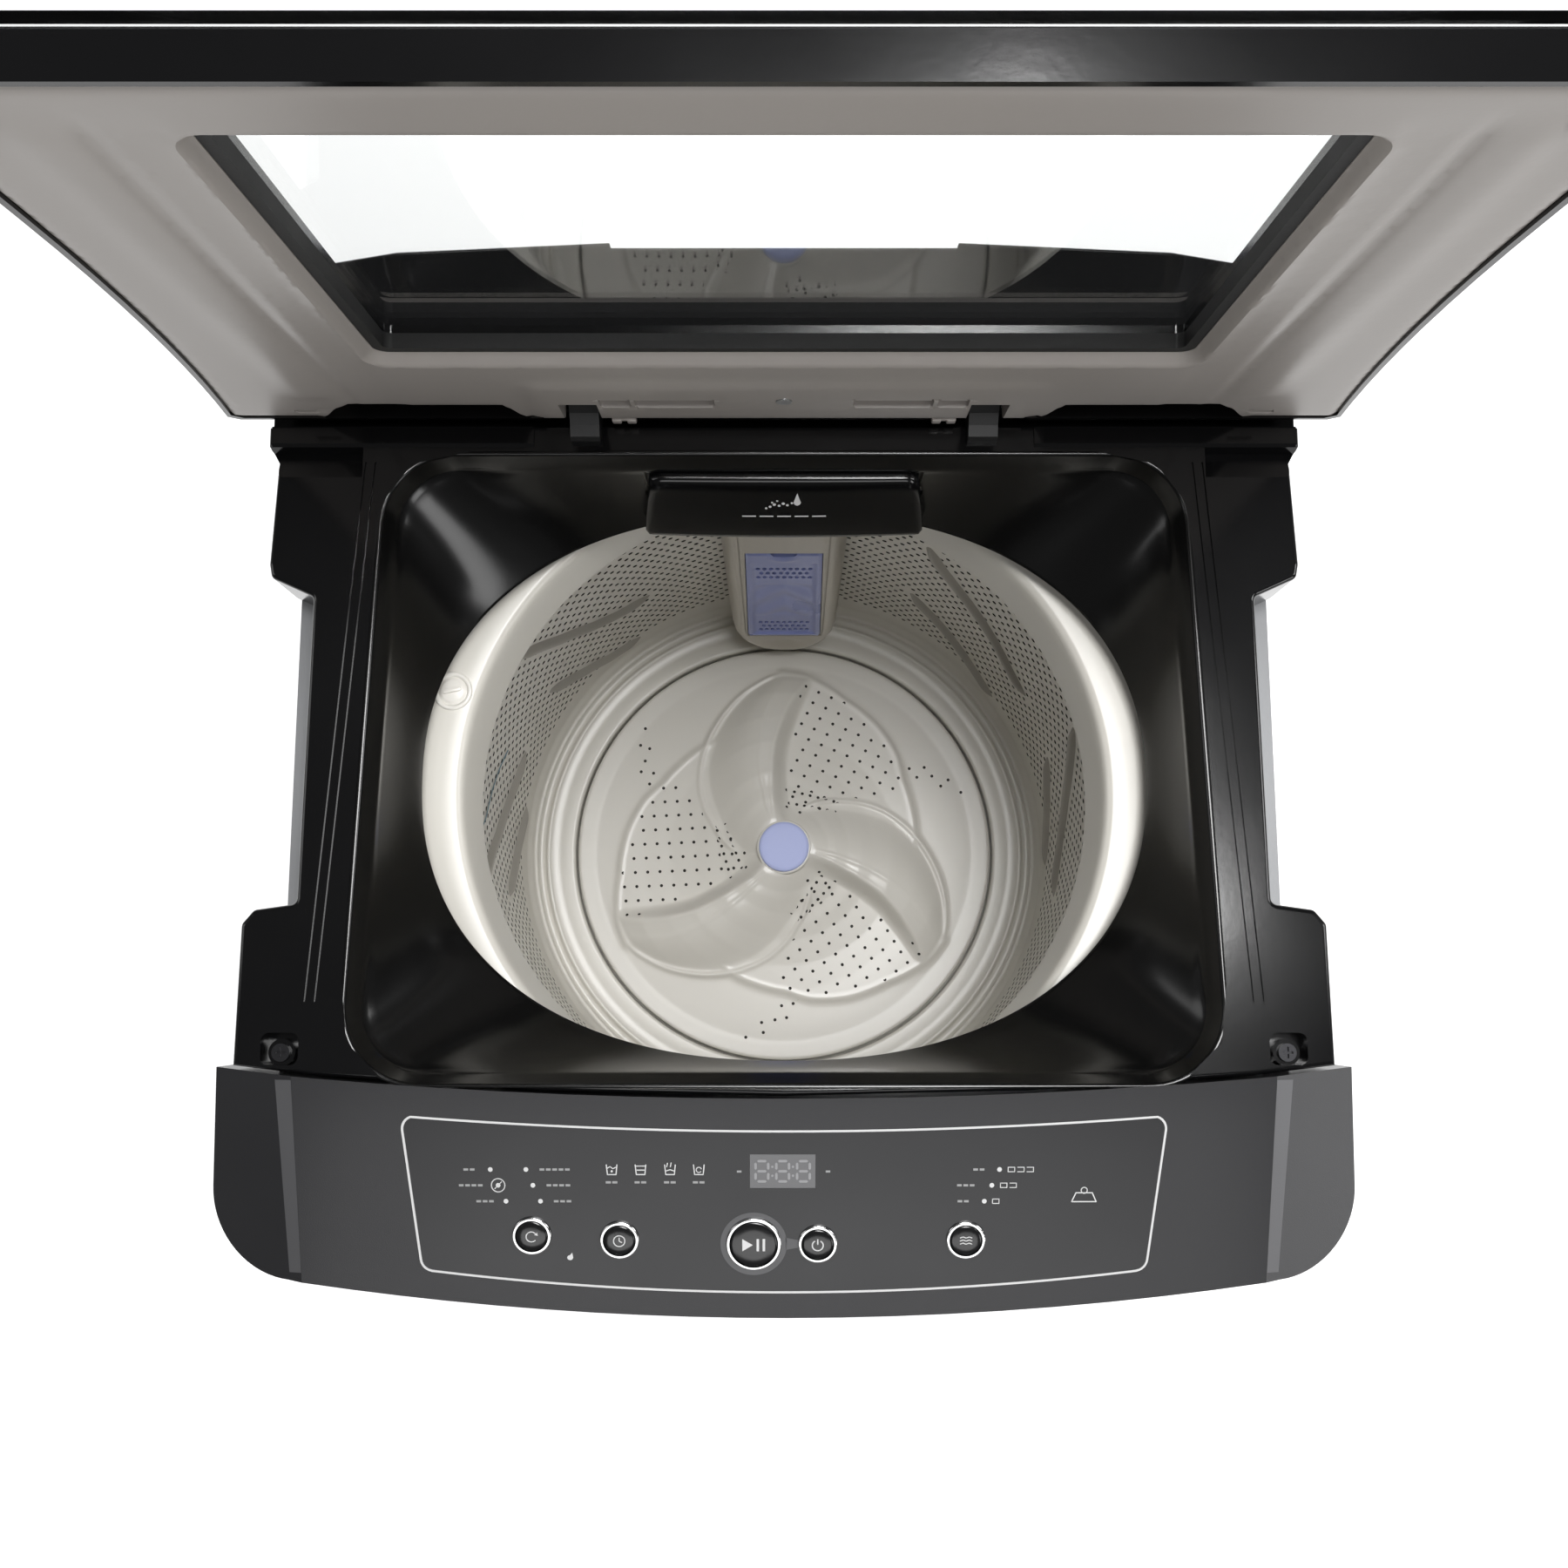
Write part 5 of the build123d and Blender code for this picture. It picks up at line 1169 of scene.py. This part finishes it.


# a lighter strip on each end facet: a painted highlight standing in for the rounded bevel at the crease
for sg in (-1, 1):
    ev, ef = [], []
    NY = 16
    for i in range(NY + 1):
        yy_ = -159.4 + (-254.6 + 159.4) * i / NY
        wd = 8.6 - 2.2 * i / NY
        for xx_ in (238.6, 238.6 + wd * .5, 238.6 + wd):
            ev.append(end_pt(sg * xx_, yy_, 0.07))
    for i in range(NY):
        for k in range(2):
            q = i * 3 + k
            ef.append((q, q + 1, q + 4, q + 3) if sg < 0 else (q, q + 3, q + 4, q + 1))
    es = add("panel_edge_%d" % (sg + 1), ev, ef, "edge", "cabinet", smooth=False)

# silver outline of the overlay, a narrow raised strip
def quad_arc(x0, x1, y_end, y_mid, n):
    out = []
    for k in range(n + 1):
        x = x0 + (x1 - x0) * k / n
        h = abs(x0)
        out.append((x, y_mid + (y_end - y_mid) * (x / h) ** 2))
    return out


top_line = quad_arc(-180.0, 180.0, -177.4, -184.4, 60)
bot_line = quad_arc(174.0, -174.0, -253.6, -264.5, 60)
loop = top_line + arc(179.6, -183.2, 6.2, 72, -4, 6) + arc(173.0, -247.4, 6.2, -4, -80, 6) + bot_line + arc(-173.0, -247.4, 6.2, 260, 184, 6) + arc(-179.6, -183.2, 6.2, 184, 108, 6)
lv, lf = [], []
nl = len(loop)
for i, (x, y) in enumerate(loop):
    x0, y0 = loop[i - 1]
    x1, y1 = loop[(i + 1) % nl]
    l = math.hypot(x1 - x0, y1 - y0) or 1
    nx, ny = -(y1 - y0) / l, (x1 - x0) / l
    for o_, h_ in ((-0.62, -0.30), (-0.5, 0.10), (0.5, 0.10), (0.62, -0.30)):
        lv.append(pan(x + nx * o_, y + ny * o_, h_))
for i in range(nl):
    a, b = i * 4, ((i + 1) % nl) * 4
    for k in range(3):
        lf.append((a + k, a + k + 1, b + k + 1, b + k))
line = add("overlay_outline", lv, lf, "print", "cabinet", angle=30)
weld(line)

bright, dim = [], []
for i, y in enumerate((-203.1, -210.9, -218.8)):
    bright.append(disc((-143.5, -139.9, -136.3)[i], y, 1.15))
    bright.append(disc((-126.1, -122.9, -119.4)[i], y, 1.15))
    bright.append(disc((105.3, 101.7, 98.2)[i], y, 1.15))
    # plain dashes where the real panel has words
    w = (7.6, 13.5, 9.0)[i]
    xr = (-149.0, -145.6, -141.8)[i]
    for k in range(int(w // 3)):
        dim.append(bar_(xr - w + k * 3.1, xr - w + k * 3.1 + 2.3, y - .55, y + .55))
    w = (15.5, 12.0, 10.5)[i]
    xl = (-119.4, -116.2, -112.8)[i]
    for k in range(int(w // 3)):
        dim.append(bar_(xl + k * 3.1, xl + k * 3.1 + 2.3, y - .55, y + .55))
    w = (6.5, 10.5, 6.5)[i]
    xr = (101.0, 97.2, 93.6)[i]
    for k in range(int(w // 3)):
        dim.append(bar_(xr - w - 2 + k * 3.1, xr - w - 2 + k * 3.1 + 2.3, y - .55, y + .55))
    # stepped level marks
    xs = (109.5, 105.9, 102.2)[i]
    for k in range((3, 3, 2)[i] - (1 if i else 0)):
        bright += stroke([(xs + k * 4.6, y + 1.1), (xs + 3.2 + k * 4.6, y + 1.1), (xs + 3.2 + k * 4.6, y - 1.1), (xs + k * 4.6, y - 1.1)], 0.38, closed=(k == 0))
bright += stroke(arc(-139.9, -210.9, 3.3, 0, 360, 24), 0.5)
bright += stroke([(-141.6, -212.6), (-138.2, -209.2)], 0.4)
# four pictograms: soak, wash, rinse, spin
for i, x in enumerate((-84.2, -70.1, -55.7, -41.6)):
    y = -203.0
    tubp = [(x - 2.6, y + 2.2), (x - 2.1, y - 2.6), (x + 2.1, y - 2.6), (x + 2.6, y + 2.2)]
    bright += stroke(tubp, 0.5)
    if i == 0:
        bright += stroke([(x - 2.0, y + .6), (x - .8, y + 1.3), (x + .6, y + .3), (x + 2.0, y + 1.0)], 0.45)
        bright.append(disc(x, y - 1.0, 0.55))
    elif i == 1:
        bright += stroke([(x - 2.2, y + 1.6), (x + 2.2, y + 1.6)], 0.45)
        bright += stroke([(x - 1.8, y - .4), (x + 1.8, y - .4)], 0.45)
    elif i == 2:
        bright += stroke([(x - 1.2, y + 3.0), (x - 1.6, y + 1.2)], 0.45) + stroke([(x + .6, y + 3.2), (x + .2, y + 1.2)], 0.45)
        bright += stroke([(x - 1.9, y - .8), (x, y - .2), (x + 1.9, y - .8)], 0.45)
    else:
        bright += stroke(arc(x, y - .3, 1.3, 20, 320, 12), 0.45)
    for k in range(2):
        dim.append(bar_(x - 3.0 + k * 3.2, x - 0.5 + k * 3.2, y - 7.0, y - 5.9))
# small marks either side of the display, the lock mark, and the load mark at the right
for x in (-23.0, 20.4):
    dim.append(bar_(x, x + 2.2, -204.6, -203.6))
bright.append([pan(-105.5 + 1.5 * math.cos(t), -247.0 + 1.3 * math.sin(t) + (1.6 if k == 3 else 0)) for k, t in enumerate([math.radians(-90 + 45 * q) for q in range(8)])][:8])
bright += stroke([(141.0, -219.0), (143.0, -214.6), (151.0, -214.6), (153.0, -219.0)], 0.55, closed=True) + stroke(arc(147.0, -213.4, 1.5, 0, 360, 14), 0.5)
flat_marks("overlay_marks", [p for p in bright if len(p) > 2], "print")
flat_marks("overlay_dashes", dim, "print_dim")

# display: three digits with unlit segments
seg = []
dx0, dx1, dy0, dy1 = -16.8, 15.5, -212.4, -195.6
SEG = {"a": ((-2.6, 5.0), (2.6, 5.0)), "g": ((-2.6, 0), (2.6, 0)), "d": ((-2.6, -5.0), (2.6, -5.0)), "f": ((-3.1, .4), (-3.1, 4.6)), "b": ((3.1, .4), (3.1, 4.6)), "e": ((-3.1, -4.6), (-3.1, -.4)), "c": ((3.1, -4.6), (3.1, -.4))}
for cx in (-10.8, -0.65, 9.5):
    for (ax, ay), (bx, by) in SEG.values():
        w = 0.62
        l = math.hypot(bx - ax, by - ay)
        ux, uy = (bx - ax) / l, (by - ay) / l
        nx, ny = -uy * w, ux * w
        a, b = (cx + ax + ux * .25, -204.0 + ay + uy * .25), (cx + bx - ux * .25, -204.0 + by - uy * .25)
        seg.append([pan(a[0], a[1], -.30), pan(a[0] + ux * w + nx, a[1] + uy * w + ny, -.30), pan(b[0] - ux * w + nx, b[1] - uy * w + ny, -.30), pan(b[0], b[1], -.30),
                    pan(b[0] - ux * w - nx, b[1] - uy * w - ny, -.30), pan(a[0] + ux * w - nx, a[1] + uy * w - ny, -.30)])
for cx in (-5.7, 4.4):
    for dy in (-2.2, 2.2):
        seg.append(disc(cx, -204.0 + dy, 0.6, 12, -.30))
flat_marks("display_segments", seg, "segment")

# grey halo round the start button and its link to the power button
EY, EN = Vector((0, math.cos(SLOPE), math.sin(SLOPE))), Vector((0, -math.sin(SLOPE), math.cos(SLOPE)))


def on_btn(bx, by, u, w, lift):
    o_ = Vector((bx, by, PAN_Z + (by - PAN_Y) * TANS))
    p = o_ + Vector((1, 0, 0)) * u + EY * w + EN * lift
    return tuple(p)


hal = []
R0, R1 = 13.75, 16.4
for k in range(64):
    t0, t1 = 2 * math.pi * k / 64, 2 * math.pi * (k + 1) / 64
    hal.append([on_btn(-14.9, -240.1, R0 * math.cos(t0), R0 * math.sin(t0), -.12), on_btn(-14.9, -240.1, R1 * math.cos(t0), R1 * math.sin(t0), -.12),
                on_btn(-14.9, -240.1, R1 * math.cos(t1), R1 * math.sin(t1), -.12), on_btn(-14.9, -240.1, R0 * math.cos(t1), R0 * math.sin(t1), -.12)])
hal.append([on_btn(-14.9, -240.1, 15.6, -3.2, -.12), on_btn(-14.9, -240.1, 21.8, -2.0, -.12), on_btn(-14.9, -240.1, 21.8, 2.0, -.12), on_btn(-14.9, -240.1, 15.6, 3.2, -.12)])
flat_marks("start_halo", hal, "halo")

BUTTONS = {"start": (-14.9, -240.1, 11.7), "power": (16.6, -240.1, 7.8), "program": (-124.1, -236.0, 7.8), "delay": (-81.0, -238.1, 7.8), "level": (89.5, -238.1, 7.8)}
for name, (bx, by, br) in BUTTONS.items():
    # domed cap
    prof_ = [(br, -4.0), (br, 0.1), (br - .15, .45), (br - .5, .75), (br - 1.2, .95), (br * .6, 1.12), (br * .3, 1.2), (0.02, 1.22)]
    N = 64
    rg = [[on_btn(bx, by, r * math.cos(2 * math.pi * k / N), r * math.sin(2 * math.pi * k / N), h) for k in range(N)] for r, h in prof_]
    v, f = rows(rg)
    v = list(v)
    f.append(tuple(reversed(range(N))))
    s = len(v)
    for r, h in ((3.0, -4.0), (3.0, -6.9)):
        v += [on_btn(bx, by, r * math.cos(2 * math.pi * k / N), r * math.sin(2 * math.pi * k / N), h) for k in range(N)]
    for k in range(N):
        f.append((s + k, s + N + k, s + N + (k + 1) % N, s + (k + 1) % N))
    f.append(tuple(s + N + k for k in reversed(range(N))))
    o = add("cap_" + name, v, f, "button", "button_" + name, angle=40)
    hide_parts("button_" + name)

    def P2(u, w):
        return on_btn(bx, by, u, w, 1.27)

    def st(pts, w_):
        out = []
        for (ax, ay), (bx_, by_) in zip(pts[:-1], pts[1:]):
            l = math.hypot(bx_ - ax, by_ - ay) or 1
            nx, ny = -(by_ - ay) / l * w_ / 2, (bx_ - ax) / l * w_ / 2
            out.append([P2(ax + nx, ay + ny), P2(ax - nx, ay - ny), P2(bx_ - nx, by_ - ny), P2(bx_ + nx, by_ + ny)])
        return out
    sy = []
    if name == "start":
        sy.append([P2(-5.6, -3.2), P2(-0.4, 0), P2(-5.6, 3.2)])
        sy += st([(2.0, -3.2), (2.0, 3.2)], 1.2) + st([(5.0, -3.2), (5.0, 3.2)], 1.2)
    elif name == "power":
        sy += st(arc(0, -.2, 2.7, 120, 420, 20), .6) + st([(0, .2), (0, 3.1)], .6)
    elif name == "program":
        sy += st(arc(0, 0, 2.6, 30, 320, 18), .5)
        sy.append([P2(2.9, 2.3), P2(1.4, 1.0), P2(3.2, .6)])
    elif name == "delay":
        sy += st(arc(0, 0, 2.8, 0, 360, 22), .5) + st([(0, 1.8), (0, 0), (1.4, -.8)], .5)
    else:
        for q in (-1.6, 0, 1.6):
            sy += st([(-3.0, q), (-1.5, q + .6), (0, q), (1.5, q + .6), (3.0, q)], .45)
    flat_marks("symbol_" + name, sy, "print", body="button_" + name)

# ------------------------------------------------------------------ a pass over the shown carried-over CAD nodes, which leaves them unchanged
for name, o in NODES.items():
    if o.hide_render:
        continue
    if name == "drain_hose":
        continue

# ------------------------------------------------------------------ floor, light, camera
def stage_floor():
    me = bpy.data.meshes.new("floor")
    s = 14.0
    me.from_pydata([(-s, -s, 0), (s, -s, 0), (s, s, 0), (-s, s, 0)], [], [(0, 1, 2, 3)])
    o = bpy.data.objects.new("floor", me)
    bpy.context.collection.objects.link(o)
    m = material("floor_white", (0.86, 0.86, 0.86, 1), rough=0.9, vary=0.01, vary_scale=2, bump=0.0, specular=0.1, emission=0.72)
    me.materials.append(m)


stage_floor()
world = bpy.data.worlds.new("studio")
bpy.context.scene.world = world
world.use_nodes = True
wn = world.node_tree
bg = wn.nodes["Background"]
bg.inputs[0].default_value = (1.0, 1.0, 1.0, 1)
bg.inputs[1].default_value = 0.09


def area(name, loc, target, size, power, size_y=None):
    l = bpy.data.lights.new(name, "AREA")
    l.energy = power
    l.size = size
    if size_y:
        l.shape = "RECTANGLE"
        l.size_y = size_y
    o = bpy.data.objects.new(name, l)
    bpy.context.collection.objects.link(o)
    o.location = loc
    o.rotation_euler = (Vector(target) - Vector(loc)).to_track_quat("-Z", "Y").to_euler()
    return o


area("key_front", (0.0, -2.2, 2.9), (0, 0, 0.85), 2.2, 15, 0.8)
area("left_box", (-2.2, 0.3, 2.0), (0, 0, 0.7), 0.7, 6, 1.6)
area("right_box", (2.0, 0.25, 2.2), (0, 0, 0.7), 0.6, 13, 1.0)
area("right_front", (1.9, -1.3, 1.9), (0.25, -0.2, 0.9), 0.8, 9, 0.8)
area("back_box", (0.0, 2.6, 2.6), (0, 0, 0.9), 2.0, 12, 0.7)
area("overhead", (0.24, 0.16, 2.75), (0, 0, 0.5), 0.85, 38, 0.72)

cam = bpy.data.cameras.new("camera")
cam.lens = 34.0
cam.sensor_width = 36.0
cam.clip_end = 60
co = bpy.data.objects.new("camera", cam)
bpy.context.collection.objects.link(co)
co.location = (0, -0.1182, 1.657)
co.rotation_euler = (math.radians(8.07), 0, 0)
bpy.context.scene.camera = co
bpy.context.scene.view_settings.view_transform = "Standard"
